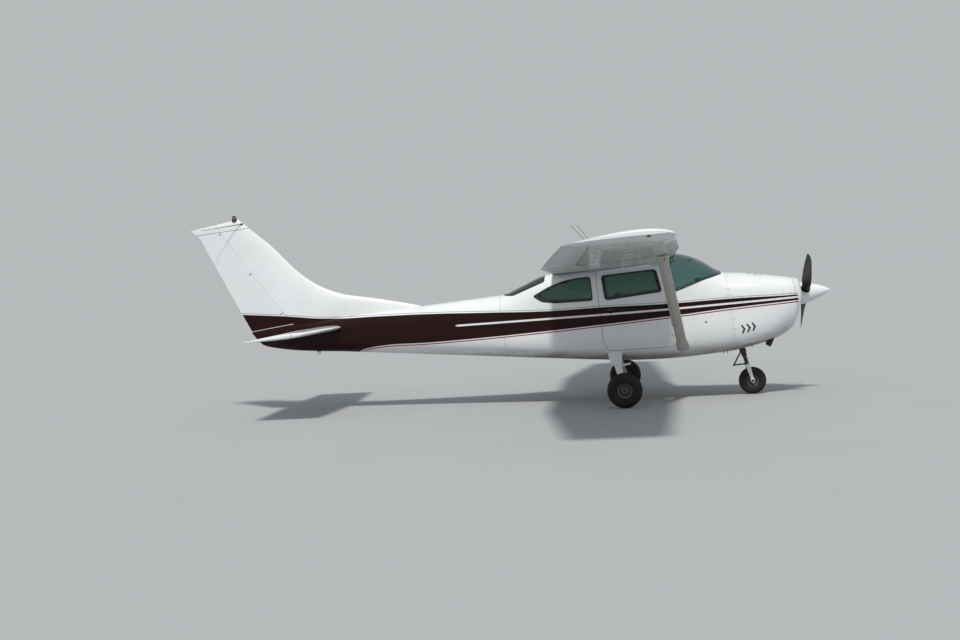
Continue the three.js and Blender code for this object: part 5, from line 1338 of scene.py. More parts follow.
def make_wing_covers():
    places = [wing_face(y, share) for y, share in COVER_SPOTS]
    place_both("wing_covers", studs([(at, -UP) for at in places], 0.062), wing_paint)
    screws = [at + [0.054 * math.cos(turn), 0.054 * math.sin(turn), -MM]
              for at in places for turn in full_turn(8)]
    place_both("cover_screws", studs([(at, -UP) for at in screws], 0.0032), dark_metal)


def make_wing_fittings():
    foot = on_wing(2.7, 0.47, -0.05)
    low = foot - [0, 0, 0.047]
    tie = joined(bar(foot, low + [0, 0, 0.012], 0.006, 16), ring_of(low, OUT, 0.014, 0.004))
    place_both("tie_down_ring", tie, bright_metal)
    bend = [wing_face(2.05, 0.42), wing_face(2.05, 0.42, -1, 0.055), wing_face(2.05, 0.40, -1, 0.075)]
    place_both("tank_vent", tube(bend, 0.006), bright_metal)
    mast = wing_face(2.9, 0.16)
    section = streamline(0.055, 0.014)
    rings = [np.insert(section + [mast[0] + lean, mast[1]], 2, mast[2] + drop, 1)
             for drop, lean in ((0.01, 0), (-0.085, 0.030))]
    probe = bar(mast + [0, 0, -0.088], mast + [0.175, 0, -0.088], 0.009, 20, 0.007, 0.002)
    place("pitot", joined(loft(rings), probe), bright_metal)
    lip = wing_face(3.35, 0.004)
    inlet = block(lip + [-0.004, -0.028, -0.010], lip + [0.008, 0.028, 0.004], 0.002)
    place("stall_inlet", inlet, dark_metal)


def make_wing_lights():
    for (side, sign), material in zip(SIDES, (red_lens, green_lens)):
        at = np.array([-2.358, sign * 5.436, 2.182])
        place("tip_light_" + side, ball(at, (0.040, 0.019, 0.024)), material)
        foot = ball(at + [-0.018, 0, 0.004], (0.058, 0.021, 0.020))
        place("tip_light_foot_" + side, foot, wing_paint)
    at = wing_face(4.05, 0.012) + [0, 0, 0.026]
    place("landing_lamp_rim", ring_of(at + [0.004, 0, 0], (1, 0, 0), 0.040, 0.004), bright_metal)
    place("landing_lamp", ball(at - [0.004, 0, 0], (0.010, 0.038, 0.038)), clear_lens)


def make_roof():
    ring = wing_ring(ROOT_Y)
    rings = [at_y(y, ring[:, 0], ring[:, 2]) for y in (-0.4575, -0.3, -0.15, 0, 0.15, 0.3, 0.4575)]
    place("roof_skin", cut(loft(rings), fuselage(-1.9, -3.8)), wing_paint, "cabin_roof")
    profile = [(0, -0.02), (0.026, -0.02), (0.026, 0.004), (0.016, 0.014), (0.009, 0.034), (0, 0.036)]
    for side, foot, tip in (("right", (-2.914, -0.2, 2.085), (-3.276, -0.2, 2.576)),
                            ("left", (-2.906, 0.2, 2.085), (-3.203, 0.2, 2.578))):
        place("whip_" + side, tube([foot, tip], [0.0045, 0.0022], 12), dark_metal)
        base = turned(profile, foot, np.subtract(tip, foot) * [0.4, 1, 1], 24)
        place("whip_base_" + side, base, seal_rubber)


# Struts

def streamline(chord, thickness, count=40):
    """A streamlined section: distances along the chord and across it."""
    angle = full_turn(count)
    fuller_ahead = 1 + 0.25 * np.cos(angle)
    return np.column_stack([chord / 2 * np.cos(angle), thickness / 2 * np.sin(angle) * fuller_ahead])


def limb(table, ys):
    """A leg or strut through the rows of a table, at each y."""
    rings = []
    for y, (x, z, chord, thickness) in zip(ys, smooth_table(table[:, 0], table[:, 1:], ys)):
        section = streamline(chord, thickness)
        rings.append(np.column_stack([x + section[:, 0], y + section[:, 1] * 0.5, z + section[:, 1] * 0.86]))
    return np.array(rings)


def make_struts():
    ys = np.concatenate([np.linspace(0.5, 0.8, 12), np.linspace(0.9, 2.4, 12), np.linspace(2.44, 2.64, 10)])
    wing = moved(whole_wing(), (0, 0, -CLEAR))
    cabin = fuselage(-1.7, -2.4)
    place_both("strut", cut(loft(limb(STRUT, ys)), cabin, wing), strut_paint, "wing_strut_")
    cuff_rows = STRUT * [1, 1, 1, 1.10, 1.22]
    upper = cut(loft(limb(cuff_rows, np.linspace(2.53, 2.64, 8))), wing)
    lower = cut(loft(limb(cuff_rows, np.linspace(0.50, 0.62, 8))), cabin)
    place_both("strut_cuffs", joined(upper, lower), strut_paint)
    angle = full_turn(40)
    oval = np.column_stack([-2.010 + 0.125 * np.cos(angle), 0.768 + 0.050 * np.sin(angle)])
    foot = common(skin(-1.7, -2.4, -0.004, 0.001, 0.03), plate(oval, 0.3, 0.7))
    place_both("strut_foot_plate", foot, gear_paint)
    place_both("strut_bolt", bar((-2.170, 2.585, 1.925), (-2.170, 2.585, 1.950), 0.006, 6), dark_metal)


# Undercarriage

def parked(behind, height):
    """The x and z of a point behind the nose tyre's foot, at a height over the ground."""
    x = -1.183 - behind * math.cos(ATTITUDE) + height * math.sin(ATTITUDE)
    return x, behind * math.sin(ATTITUDE) + height * math.cos(ATTITUDE)


# Wheels: radius, width, the rim's radius, the bore's radius, the hub's width and grooves in the tread
MAIN_WHEEL = (0.2225, 0.160, 0.088, 0.0205, 0.150, 5)
NOSE_WHEEL = (0.1805, 0.126, 0.072, 0.0145, 0.140, 3)
MAIN_X, MAIN_Z = parked(1.690, MAIN_WHEEL[0])
NOSE_X, NOSE_Z = parked(0, NOSE_WHEEL[0])
TRACK_Y = 1.215
TYRE_INNER = TRACK_Y - MAIN_WHEEL[1] / 2
GROOVE_DEPTH, CROWN_DROP = 6 * MM, 13 * MM


def tyre_profile(radius, width, rim, grooves):
    """Radius and distance pairs round a tyre's section, with its tread grooves."""
    half, bulge = width / 2, (radius - rim) / 2
    middle, shoulder = rim + bulge * 0.95, half * 0.62
    side = [(middle + bulge * math.sin(angle), half * math.cos(angle) ** 0.6)
            for angle in np.linspace(-0.5 * math.pi * 0.9, 0.5 * math.pi * 0.55, 14)]
    side[0] = (rim, shoulder)
    edges = np.linspace(-1, 1, grooves * 2 + 2)
    crown = []
    for i, ends in enumerate(zip(edges[:-1], edges[1:])):
        for share in np.multiply(ends, 0.999):
            crown.append((radius - CROWN_DROP * abs(share) ** 3 - GROOVE_DEPTH * (i % 2), share * shoulder))
    side = [(r, y) for r, y in side if r < radius - CROWN_DROP]
    return [(r, -y) for r, y in side] + crown + side[::-1]


def make_tyre(wheel, centre):
    radius, width, rim, _, _, grooves = wheel
    return turned(tyre_profile(radius, width, rim, grooves), centre, OUT, 96)


def at_circle(centre, turn, radius):
    """A point on an upright circle that faces sideways."""
    return np.add(centre, [radius * math.cos(turn), 0, radius * math.sin(turn)])


def make_hub(wheel, centre):
    """A wheel of two bolted halves with a dished web."""
    _, width, rim, bore, hub_width, _ = wheel
    half, hub_half, flange = width / 2, hub_width / 2, width / 2 * 0.66
    one = [(bore, hub_half), (bore + 0.017, hub_half), (bore + 0.021, hub_half - 0.006),
           (bore + 0.026, half * 0.42), (rim - 0.024, half * 0.30), (rim - 0.016, half * 0.36),
           (rim - 0.012, flange - 0.006), (rim - 0.009, flange), (rim + 0.006, flange + 0.004),
           (rim + 0.007, flange - 0.002), (rim - 0.001, flange - 0.006)]
    bolts = [pin(at_circle(centre, turn, rim - 0.030), OUT, half * 0.44, 0.0055, 6, MM)
             for turn in full_turn(6)]
    return joined(turned(one + [(r, -y) for r, y in reversed(one)], centre, OUT, 72), *bolts)


def beside_tyre(low, high):
    """A block at the main axle: x and z from the wheel's centre, y from the tyre's inner side."""
    centre = np.array([MAIN_X, TYRE_INNER, MAIN_Z])
    return block(centre + low, centre + high)


def make_main_legs():
    cabin = fuselage(-2.5, -3.3)
    leg = cut(loft(limb(LEG, np.linspace(0.455, 1.118, 28))), cabin)
    place_both("leg", leg, gear_paint, "main_leg_")
    cuff = loft(limb(LEG * [1, 1, 1, 1.28, 1.40], np.linspace(0.455, 0.712, 14)) - [0.012, 0, 0])
    place_both("leg_cuff", cut(cuff, cabin), gear_paint)
    line = [[x - chord * 0.5 - 0.002, y, z - 0.006] for y, x, z, chord, _ in LEG[1:]]
    line += [[MAIN_X - ahead, TYRE_INNER - 0.03, MAIN_Z + up] for ahead, up in ((0.078, 0.06), (0.058, 0.03))]
    place_both("brake_line", tube(line, 0.004), seal_rubber)
    step = joined(block((-2.836, 0.660, 0.676), (-2.728, 0.790, 0.684), 0.003),
                  block((-2.880, 0.715, 0.655), (-2.740, 0.735, 0.677), 0.004))
    place_both("step", step, gear_paint)
    tread = [block((x - 0.004, 0.664, 0.6835), (x + 0.004, 0.786, 0.6855))
             for x in np.linspace(-2.828, -2.736, 8)]
    place_both("step_tread", joined(*tread), step_grip)


def make_main_wheels():
    flange = beside_tyre((-0.040, -0.042, -0.035), (0.040, -0.020, 0.062))
    axle = bar((MAIN_X, TYRE_INNER - 0.03, MAIN_Z), (MAIN_X, TRACK_Y + 0.062, MAIN_Z), 0.0195, 32)
    nut = bar((MAIN_X, TRACK_Y + 0.060, MAIN_Z), (MAIN_X, TRACK_Y + 0.0625, MAIN_Z), 0.017, 6, bevel=MM)
    place_both("axle", joined(flange, axle, nut), dark_metal)
    profile = [(0, 0), (0.058, 0), (0.060, 0.002), (0.060, 0.008), (0.058, 0.010), (0.030, 0.010), (0, 0.010)]
    disc = turned(profile, (MAIN_X, TYRE_INNER - 0.020, MAIN_Z), OUT, 64)
    caliper = beside_tyre((-0.075, -0.036, -0.030), (-0.040, -0.006, 0.034))
    place_both("brake", joined(disc, caliper), dark_metal)
    for side, sign in SIDES:
        centre = np.array([MAIN_X, sign * TRACK_Y, MAIN_Z])
        wheel = "main_wheel_" + side
        place("tyre_" + side, make_tyre(MAIN_WHEEL, centre), tyre_rubber, "main_tyre_" + side, wheel)
        place("hub_" + side, make_hub(MAIN_WHEEL, centre), hub_alloy, "main_hub_" + side, wheel)


STRUT_TILT = math.atan(0.1775)


def on_strut(up, forward=0.0, y=0.0):
    """A point up the nose strut from the wheel's centre, and forward of it."""
    return np.array([NOSE_X - up * math.sin(STRUT_TILT) + forward * math.cos(STRUT_TILT), y,
                     NOSE_Z + up * math.cos(STRUT_TILT) + forward * math.sin(STRUT_TILT)])


def round_strut(*profile):
    """A body of revolution about the nose strut, from radius and height pairs."""
    return turned(profile, on_strut(0), on_strut(1) - on_strut(0), 48)


def make_nose_strut():
    cylinder = round_strut((0.0275, 0.345), (0.034, 0.345), (0.036, 0.350), (0.036, 0.366), (0.033, 0.372),
                           (0.033, 0.700), (0.031, 0.720), (0.0275, 0.720))
    collar = round_strut((0.0345, 0.430), (0.041, 0.430), (0.042, 0.433), (0.042, 0.452), (0.041, 0.455),
                         (0.0345, 0.455))
    clamps = [block((-1.3395, -0.038, at[2] - 0.022), (at[0] - 0.010, 0.038, at[2] + 0.022))
              for at in (on_strut(0.600), on_strut(0.690))]
    place("nose_cylinder", joined(cylinder, collar, *clamps), dark_metal, "nose_strut")
    place("nose_piston", bar(on_strut(0.214), on_strut(0.440), 0.0262, 48), dark_metal, body="nose_gear")


def make_nose_fork():
    bridge = bar(on_strut(0.214, 0, -0.087), on_strut(0.214, 0, 0.087), 0.024, 32, bevel=0.004)
    ups = np.linspace(-0.030, 0.232, 16)
    chords = np.interp(ups, [-0.03, 0, 0.06, 0.232], [0.030, 0.056, 0.040, 0.062])
    arms = [loft([[on_strut(up, a, side * 0.079 + b) for a, b in streamline(chord, 0.015, 24)]
                  for up, chord in zip(ups, chords)]) for side in (-1, 1)]
    place("fork", joined(bridge, *arms), gear_paint, "nose_fork", "nose_gear")
    centre = np.array([NOSE_X, 0, NOSE_Z])
    nuts = [bar(centre + [0, side * 0.088, 0], centre + [0, side * 0.097, 0], 0.021, 6, bevel=0.002)
            for side in (-1, 1)]
    axle = joined(pin(centre, OUT, 0.096, 0.0135, 32, 0.002), *nuts)
    place("nose_axle", axle, dark_metal, body="nose_gear")
    place("nose_tyre_rubber", make_tyre(NOSE_WHEEL, centre), tyre_rubber, "nose_tyre", "nose_wheel")
    place("nose_wheel_hub", make_hub(NOSE_WHEEL, centre), hub_alloy, "nose_hub", "nose_wheel")


def make_torque_link():
    foot, apex, head = (0.238, -0.020), (0.268, -0.172), (0.404, -0.038)
    links = []
    for start, end in ((foot, apex), (apex, head)):
        links += [bar(on_strut(*start, y), on_strut(*end, y * 0.6), 0.0085, 12, bevel=0.002)
                  for y in (-0.018, 0.018)]
        middle = np.add(start, end) / 2
        links.append(bar(on_strut(*middle, -0.016), on_strut(*middle, 0.016), 0.006, 12))
    links.append(bar(on_strut(*apex, -0.030), on_strut(*apex, 0.030), 0.012, 16, bevel=0.003))
    ring = round_strut((0.0355, 0.396), (0.046, 0.396), (0.046, 0.424), (0.0355, 0.424))
    place("torque_link", joined(*links, ring), dark_metal, body="nose_gear")


# Tail surfaces
TIP_Y, TIP_START = 1.775, 1.7


def tailplane_ring(y, rise=0.0):
    leading, chord, ratio = straight_table(TAILPLANE[:, 0], TAILPLANE[:, 1:], abs(y))
    if abs(y) > TIP_START:
        ratio = 0.03 + 0.045 * math.sqrt(max(0.0, 1 - ((abs(y) - TIP_START) / 0.075) ** 2))
    shape = with_bead(aerofoil(chord, ratio), chord, rise, TAIL_BEADS)
    return at_y(y, leading - shape[:, 0], TAILPLANE_Z + shape[:, 1])


def tailplane_body():
    ys = np.concatenate([np.linspace(0, TIP_START, 8), TIP_YS])
    return loft([tailplane_ring(y) for y in np.concatenate([-ys[:0:-1], ys])])


def elevator_hinge(from_y):
    return Hinge((ELEVATOR_HINGE_X, from_y, TAILPLANE_Z), (ELEVATOR_HINGE_X, TIP_Y, TAILPLANE_Z))


def make_stabiliser():
    space = elevator_hinge(0).space(ELEVATOR_RADII, SURFACE_GAP)
    horn_space = block((-7.1, HORN_Y - SURFACE_GAP, 1.5), (HORN_X + SURFACE_GAP, 1.9, 1.8))
    fixed = cut(tailplane_body(), space, mirrored(space), horn_space, mirrored(horn_space))
    place("stabiliser_skin", fixed, wing_paint, "stabiliser")


def make_elevator():
    root_radius = np.interp(ELEVATOR_ROOT_Y, [0, TIP_Y], ELEVATOR_RADII)
    hinge = elevator_hinge(ELEVATOR_ROOT_Y)
    slots, arms = hinge.fittings((0.18, 0.5, 0.84), root_radius, 0.08)
    rings = [tailplane_ring(y, rise) for y, rise in zip(*beaded_stations(ELEVATOR_ROOT_Y, HORN_Y))]
    rings += [tailplane_ring(y) for y in (TIP_START, *TIP_YS)]
    half = cut(common(loft(rings), hinge.space([root_radius, ELEVATOR_RADII[1]], 0)), *slots)
    tab_gap = cut(block((-7.60, 0.55, 1.5), (-7.420, 1.25, 1.8)),
                  block((-7.70, 0.553, 1.4), (-7.423, 1.247, 1.9)))
    tabbed = cut(half, tab_gap, mark=2)
    horn = common(tailplane_body(), block((-7.05, HORN_Y, 1.5), (HORN_X, 1.9, 1.8)))
    port, starboard = (combine(part, [horn], "UNION") for part in (half, tabbed))
    place("elevator_skin", joined(mirrored(starboard), port), [beaded_paint, beaded_paint, gap_shade],
          "elevator", "elevator")
    place_both("elevator_arms", arms, gear_paint)
    place("elevator_tube", pin((ELEVATOR_HINGE_X, 0, TAILPLANE_Z), OUT, 0.225, 0.020, 32), dark_metal,
          body="elevator")


def fin_body():
    length = lengths_along(FIN[:, :2])
    at = np.concatenate([np.linspace(0, length[-3], 34), np.linspace(length[-3], length[-1], 9)[1:]])
    rings = []
    for leading_x, leading_z, trailing_x, trailing_z, thick in smooth_table(length, FIN, at):
        chord = leading_x - trailing_x
        shape = aerofoil(chord, thick / chord)
        rings.append(np.column_stack([leading_x - shape[:, 0], shape[:, 1],
                                      leading_z + (trailing_z - leading_z) * shape[:, 0] / chord]))
    return loft(rings)


def make_fin():
    hinge = Hinge(*RUDDER_HINGE)
    (front_x, front_z), (back_x, back_z) = RUDDER_FOOT + [[0.2, 0.002], [-0.3, -0.021]]
    under = plate([[front_x, front_z], [front_x, 1.0], [back_x, 1.0], [back_x, back_z]], -0.2, 0.2)
    slots, arms = hinge.fittings((0.1, 0.42, 0.74), RUDDER_RADII[0])
    inside = fin_body()
    inside.transform(Matrix.Diagonal((1, 0.90, 1, 1)))
    seam = cut(block((-8.60, -0.2, CAP_SEAM_Z), (-7.50, 0.2, CAP_SEAM_Z + 0.006)), inside)
    rudder = cut(common(fin_body(), hinge.space(RUDDER_RADII, 0)), under, *slots)
    fin = cut(fin_body(), hinge.space(RUDDER_RADII, SURFACE_GAP))
    materials = [fin_paint, fin_paint, gap_shade]
    place("fin_skin", cut(fin, seam, mark=2), materials, "fin")
    place("rudder_skin", cut(rudder, seam, mark=2), materials, "rudder", "rudder")
    place("rudder_arms", arms, gear_paint)
    for side, sign in SIDES:
        root, end = np.array([-7.790, sign * 0.018, 3.262]), np.array([-8.265, sign * 0.360, 3.229])
        place("aerial_" + side, tube([root, end], [0.0055, 0.003], 12), dark_metal)
        place("aerial_foot_" + side, ball(root, (0.022, 0.014, 0.012)), seal_rubber)


# Propeller
PROP_START = math.pi / 2 - PROP_TURN
BLADE_TIP = 0.98  # the radius from which the blade's tip is rounded


def on_prop_axis(mesh, turn):
    """The mesh turned about the propeller's axis and put on it."""
    mesh.transform(Matrix.Translation((PROP_X, 0, PROP_AXIS_Z)) @ Matrix.Rotation(turn, 4, "X"))
    return mesh


def make_propeller():
    radii = np.concatenate([np.linspace(0.06, BLADE_TIP, 28), [1.0, 1.015, 1.027, 1.035, 1.040]])
    rows = smooth_table(BLADE[:, 0], BLADE[:, 1:], radii)
    tip = radii > BLADE_TIP
    rows[tip, 0] = 0.112 * np.sqrt(np.clip(1 - ((radii[tip] - BLADE_TIP) / 0.0615) ** 2, 0.02, 1))
    rings = []
    for radius, (chord, thick, pitch) in zip(radii, rows):
        angle = math.radians(pitch)
        along, over = streamline(chord, thick).T
        rings.append(np.column_stack([along * math.sin(angle) + over * math.cos(angle),
                                      -along * math.cos(angle) + over * math.sin(angle),
                                      np.full(len(along), radius)]))
    blade = loft(rings)
    other = blade.copy()
    other.transform(Matrix.Rotation(math.pi, 4, "X"))
    profile = [(0, -0.056), (0.070, -0.056), (0.074, -0.052), (0.074, 0.030), (0.060, 0.040), (0, 0.040)]
    whole = joined(blade, other, turned(profile, (0, 0, 0), (1, 0, 0), 48))
    place("propeller_blades", on_prop_axis(whole, PROP_START), prop_black, "propeller", "propeller")


def make_spinner():
    depth, wall = SPINNER[-1, 1], 5 * MM
    distance = np.linspace(0, 1, 40) ** 1.3 * depth
    radius = smooth_table(SPINNER[:, 1], SPINNER[:, :1], distance)[:, 0]
    radius[1] = max(radius[1], 4 * MM)
    outside = [(r, -d) for r, d in zip(radius, distance)]
    inside = [(max(r - wall, 0.0), -d) for r, d in zip(radius[4:], distance[4:])]
    floor = [(0.060, -depth), (0.060, wall - depth), (inside[-1][0], wall - depth)]
    profile = outside + floor + inside[-2:0:-1] + [(0, -0.020)]
    angle = full_turn(48)
    oval = np.column_stack([0.060 * np.cos(angle), 0.062 * np.sin(angle)])
    rooms = [on_prop_axis(plate(oval, 0.0, 0.4, axis=2), PROP_START + turn) for turn in (0, math.pi)]
    cone = cut(turned(profile, (0, 0, PROP_AXIS_Z), (1, 0, 0), 96), *rooms)
    place("spinner_cone", cone, [spinner_paint, gap_shade], "spinner", "propeller")


def make_beacon():
    foot = (-7.887, 0, 3.322)
    dome = turned([(0, 0.0705), (0.012, 0.070), (0.021, 0.066), (0.028, 0.057), (0.032, 0.040),
                   (0.034, 0.022), (0.034, 0.008), (0, 0.008)], foot, UP, 48)
    place("beacon_dome", dome, beacon_lens, "beacon")
    rim = turned([(0, -0.010), (0.037, -0.010), (0.037, 0.008), (0.035, 0.010), (0, 0.010)], foot, UP, 48)
    place("beacon_rim", rim, dark_metal)


# Instrument panel. Its own axes: across, up and out toward the seats
PANEL_X = -1712 * MM
TO_PANEL = Matrix(((0, 0, -1, PANEL_X), (-1, 0, 0, 0), (0, 1, 0, 0), (0, 0, 0, 1)))
HOOD = np.array([[-1425, 1560], [-1425, 1602], [-1690, 1636], [-1716, 1622], [-1716, 1596],
                 [-1690, 1592]]) * MM
COAMING = np.array([[-1430, 1500], [-1432, 1557], [-1690, 1588], [-1700, 1588], [-1700, 1340],
                    [-1676, 1340], [-1660, 1500]]) * MM
PANEL_FACE = np.array([[-462, 1342], [462, 1342], [462, 1560], [450, 1592], [-450, 1592],
                       [-462, 1560]]) * MM
# Large dials, clear of the control wheel's shaft. Columns: place across and up, needle in degrees
LARGE_DIALS = [(-0.365, 1.534, 70), (-0.268, 1.534, 165), (-0.171, 1.534, 260), (-0.357, 1.434, -50),
               (-0.179, 1.434, 140)]
SMALL_DIALS = [(across_it, up) for across_it in (0.150, 0.215, 0.280, 0.345) for up in (1.550, 1.488)]
RADIO_UPS = (1.395, 1.442, 1.489, 1.536)
KNOB_UP = 1.362


def figures(words, size):
    """Raised figures, in the panel's own axes."""
    curve = bpy.data.curves.new("figures", "FONT")
    curve.body, curve.size, curve.extrude = words, size, 0.2 * MM
    curve.align_x, curve.align_y = "CENTER", "CENTER"
    holder = add_object("figures", curve)
    mesh = finished_mesh(holder)
    bpy.data.objects.remove(holder)
    mesh.materials.clear()
    return mesh


def dial(across_it, up, radius, needle, numbers):
    """The bezel, the face and the marks of a dial."""
    def spot(height, turn=0.0, share=0.0):
        out = radius * share
        return np.array([across_it + out * math.sin(turn), up + out * math.cos(turn), height])

    section = [(1, 0), (1.16, 0), (1.16, 0.004), (1.08, 0.007), (1, 0.005)]
    bezel = turned([(radius * share, height) for share, height in section], spot(0), UP, 40)
    marks = [bar(spot(0.0028, turn, 0.87 if i % 2 else 0.80), spot(0.0028, turn, 0.95), radius * 0.018, 6)
             for i, turn in enumerate(full_turn(20))]
    marks += [moved(figures(number, radius * 0.34), spot(0.0032, turn, 0.62))
              for number, turn in zip(numbers, full_turn(len(numbers)))]
    tip = spot(0.0040, math.radians(needle), 0.72)
    marks.append(bar(spot(0.0040), tip, radius * 0.045, 8, radius * 0.012))
    marks.append(bar(spot(0.003), spot(0.0050), radius * 0.10, 16))
    return bezel, bar(spot(0), spot(0.003), radius, 40), joined(*marks)


def place_on_panel(name, meshes, material):
    whole = joined(*meshes)
    whole.transform(TO_PANEL)
    place(name, whole, material)


def panel_block(low, high, depth, radius=3 * MM):
    return plate([low, [high[0], low[1]], high, [low[0], high[1]]], 0.0, depth, radius, 2)


def knob(x, up, start, end, radius, sides, bevel=0.0):
    return bar((x, up, start), (x, up, end), radius, sides, bevel=bevel)


def make_panel():
    hood = common(plate(HOOD, -0.52, 0.52, 0.012), fuselage(-1.36, -2.0, 0.036))
    place("panel_hood", hood, hood_vinyl)
    deck = common(plate(COAMING, -0.52, 0.52, 0.006), fuselage(-1.36, -2.0, 0.042))
    place("panel_deck", deck, hood_vinyl, "instrument_panel")
    glove_lid = panel_block([0.310, 1.355], [0.440, 1.440], 0.006, 0.008)
    place_on_panel("panel_face", [plate(PANEL_FACE, -0.004, 0.003, 0.01, 2), glove_lid], panel_grey)
    dials = [dial(across_it, up, 0.039, needle, "02468") for across_it, up, needle in LARGE_DIALS]
    dials += [dial(across_it, up, 0.024, -40 + 300 * across_it, ("0", "5", "10"))
              for across_it, up in SMALL_DIALS]
    bezels, faces, marks = zip(*dials)
    radios = [panel_block([-0.075, up], [0.085, up + 0.042], 0.010) for up in RADIO_UPS]
    windows = [panel_block([-0.045, up + 0.015], [0.050, up + 0.031], 0.0115) for up in RADIO_UPS]
    knobs = [knob(x, up + 0.021, 0.01, 0.024, 0.007, 20, 0.002) for up in RADIO_UPS for x in (-0.061, 0.071)]
    knobs += [knob(x, KNOB_UP, 0, 0.014, 0.004, 12) for x in np.linspace(-0.36, -0.16, 9)]
    place_on_panel("panel_bezels", [*bezels, *radios, *knobs], black_plastic)
    place_on_panel("panel_dials", [*faces, *windows], dial_black)
    place_on_panel("panel_marks", marks, dial_white)
    for name, x, reach, radius, material in (("throttle_knob", -0.020, 0.060, 0.016, black_plastic),
                                             ("mixture_knob", 0.075, 0.045, 0.013, knob_red),
                                             ("pitch_knob", 0.028, 0.050, 0.013, blue_knob)):
        head = knob(x, KNOB_UP, reach, reach + 0.022, radius, 24, 0.006)
        place_on_panel(name, [knob(x, KNOB_UP, 0, reach, 0.0045, 16), head], material)


# The control wheel's grip. Columns: place across and up from its centre
GRIP = np.array([[-122, 95], [-130, 30], [-105, -30], [-45, -44], [45, -44], [105, -30], [130, 30],
                 [122, 95]]) * MM
WHEEL_Y, WHEEL_X, SHAFT_Z = 0.265, -1.905, 1.425


def make_controls():
    wheel = tube(at_x(WHEEL_X, WHEEL_Y + GRIP[:, 0], 1.440 + GRIP[:, 1]), 0.0125)
    hub = block((-1.918, 0.215, 1.385), (-1.892, 0.315, 1.452), 0.010)
    place_both("control_wheel", joined(wheel, hub), black_plastic)
    shaft = bar((-1.700, WHEEL_Y, SHAFT_Z), (-1.900, WHEEL_Y, SHAFT_Z), 0.0135, 24)
    collar = turned([(0.0135, 0), (0.030, 0), (0.030, 0.004), (0.020, 0.010), (0.0135, 0.010)],
                    (-1.715, WHEEL_Y, SHAFT_Z), (-1, 0, 0), 32)
    place_both("control_shaft", joined(shaft, collar), bright_metal)
    pedals = []
    for y in (0.18, 0.34):
        pedals.append(plate([[-1.470, 0.835], [-1.440, 0.985], [-1.432, 0.983], [-1.462, 0.833]], y - 0.035,
                            y + 0.035, 0.002))
        pedals.append(bar((-1.455, y, 0.900), (-1.372, y, 0.930), 0.008, 12))
    place_both("pedals", joined(*pedals), dark_metal)


def make_cabin_details():
    compass = joined(block((-1.785, -0.030, 1.868), (-1.735, 0.030, 1.918), 0.014),
                     bar((-1.760, 0, 1.910), (-1.760, 0, 1.945), 0.006, 12))
    place("compass", compass, black_plastic)
    place("bulkhead", loft(fuselage_rings([-4.310, -4.324], 0.0365)), lining_cloth)
    visor = plate([[-1.975, 1.905], [-1.985, 1.912], [-2.085, 1.880], [-2.080, 1.872]], 0.08, 0.38, 0.003)
    place_both("visor", visor, armrest_vinyl)


# Seats. Side outlines, columns: x, z
SEAT_BASE = np.array([[-2285, 1012], [-2285, 1098], [-2320, 1112], [-2632, 1092], [-2650, 1012]]) * MM
SEAT_BACK = np.array([[-2655, 1100], [-2752, 1578], [-2782, 1598], [-2832, 1588], [-2845, 1556],
                      [-2752, 1062], [-2672, 1062]]) * MM
BENCH_BASE = np.array([[-3112, 996], [-3112, 1072], [-3145, 1084], [-3462, 1072], [-3474, 996]]) * MM
BENCH_BACK = np.array([[-3484, 1082], [-3588, 1520], [-3615, 1538], [-3658, 1528], [-3668, 1496],
                       [-3582, 1050], [-3500, 1050]]) * MM
SIM_FRAMES = 20
PUFF_LIMIT, PUFF_PRESSURE = 10 * MM, 4.0


def puffed(mesh, voxel):
    """A stuffed cover: the mesh swollen by a cloth simulation, no point of it by more than the limit."""
    scene = bpy.context.scene
    body = add_object("cushion", mesh)
    remesh = body.modifiers.new("remesh", "REMESH")
    remesh.mode, remesh.voxel_size = "VOXEL", voxel
    even = finished_mesh(body)
    body.modifiers.clear()
    body.data = even
    start = np.empty(len(even.vertices) * 3)
    even.vertices.foreach_get("co", start)
    cloth_step = body.modifiers.new("cloth", "CLOTH")
    settings = cloth_step.settings
    settings.use_pressure, settings.uniform_pressure_force = True, PUFF_PRESSURE
    settings.effector_weights.gravity = 0
    cloth_step.point_cache.frame_start, cloth_step.point_cache.frame_end = 1, SIM_FRAMES
    for number in range(1, SIM_FRAMES + 1):
        scene.frame_set(number)
    swollen = body.evaluated_get(bpy.context.evaluated_depsgraph_get()).data
    points = np.empty(len(start))
    swollen.vertices.foreach_get("co", points)
    step = (points - start).reshape(-1, 3)
    size = np.linalg.norm(step, axis=1)[:, None]
    step *= np.minimum(1, PUFF_LIMIT / np.maximum(size, 1e-9))
    even.vertices.foreach_set("co", (start.reshape(-1, 3) + step).ravel())
    body.modifiers.clear()
    scene.frame_set(1)
    finer = body.modifiers.new("finer", "SUBSURF")
    finer.levels = finer.render_levels = 1
    made = finished_mesh(body)
    bpy.data.objects.remove(body)
    made.materials.clear()
    return made


def sewn(mesh, lines, depth=6 * MM, width=7 * MM):
    """Sewn channels along y lines on the faces that look up or forward."""
    points = np.empty(len(mesh.vertices) * 3)
    normals = np.empty(len(points))
    mesh.vertices.foreach_get("co", points)
    mesh.vertex_normals.foreach_get("vector", normals)
    points, normals = points.reshape(-1, 3), normals.reshape(-1, 3)
    away = np.min(np.abs(points[:, 1][:, None] - np.asarray(lines)), axis=1)
    facing = np.clip(normals[:, 0] + normals[:, 2], 0, 1)
    points -= normals * (depth * np.exp(-(away / width) ** 2) * facing)[:, None]
    mesh.vertices.foreach_set("co", points.ravel())
    return mesh


def cushion(side_outline, second_outline, half_width, y, voxel, lines):
    """A padded block within a side outline and a plan or front outline, with sewn channels."""
    body = common(plate(side_outline, y - half_width, y + half_width, 0.028), second_outline)
    body.materials.clear()
    return sewn(puffed(body, voxel), lines)


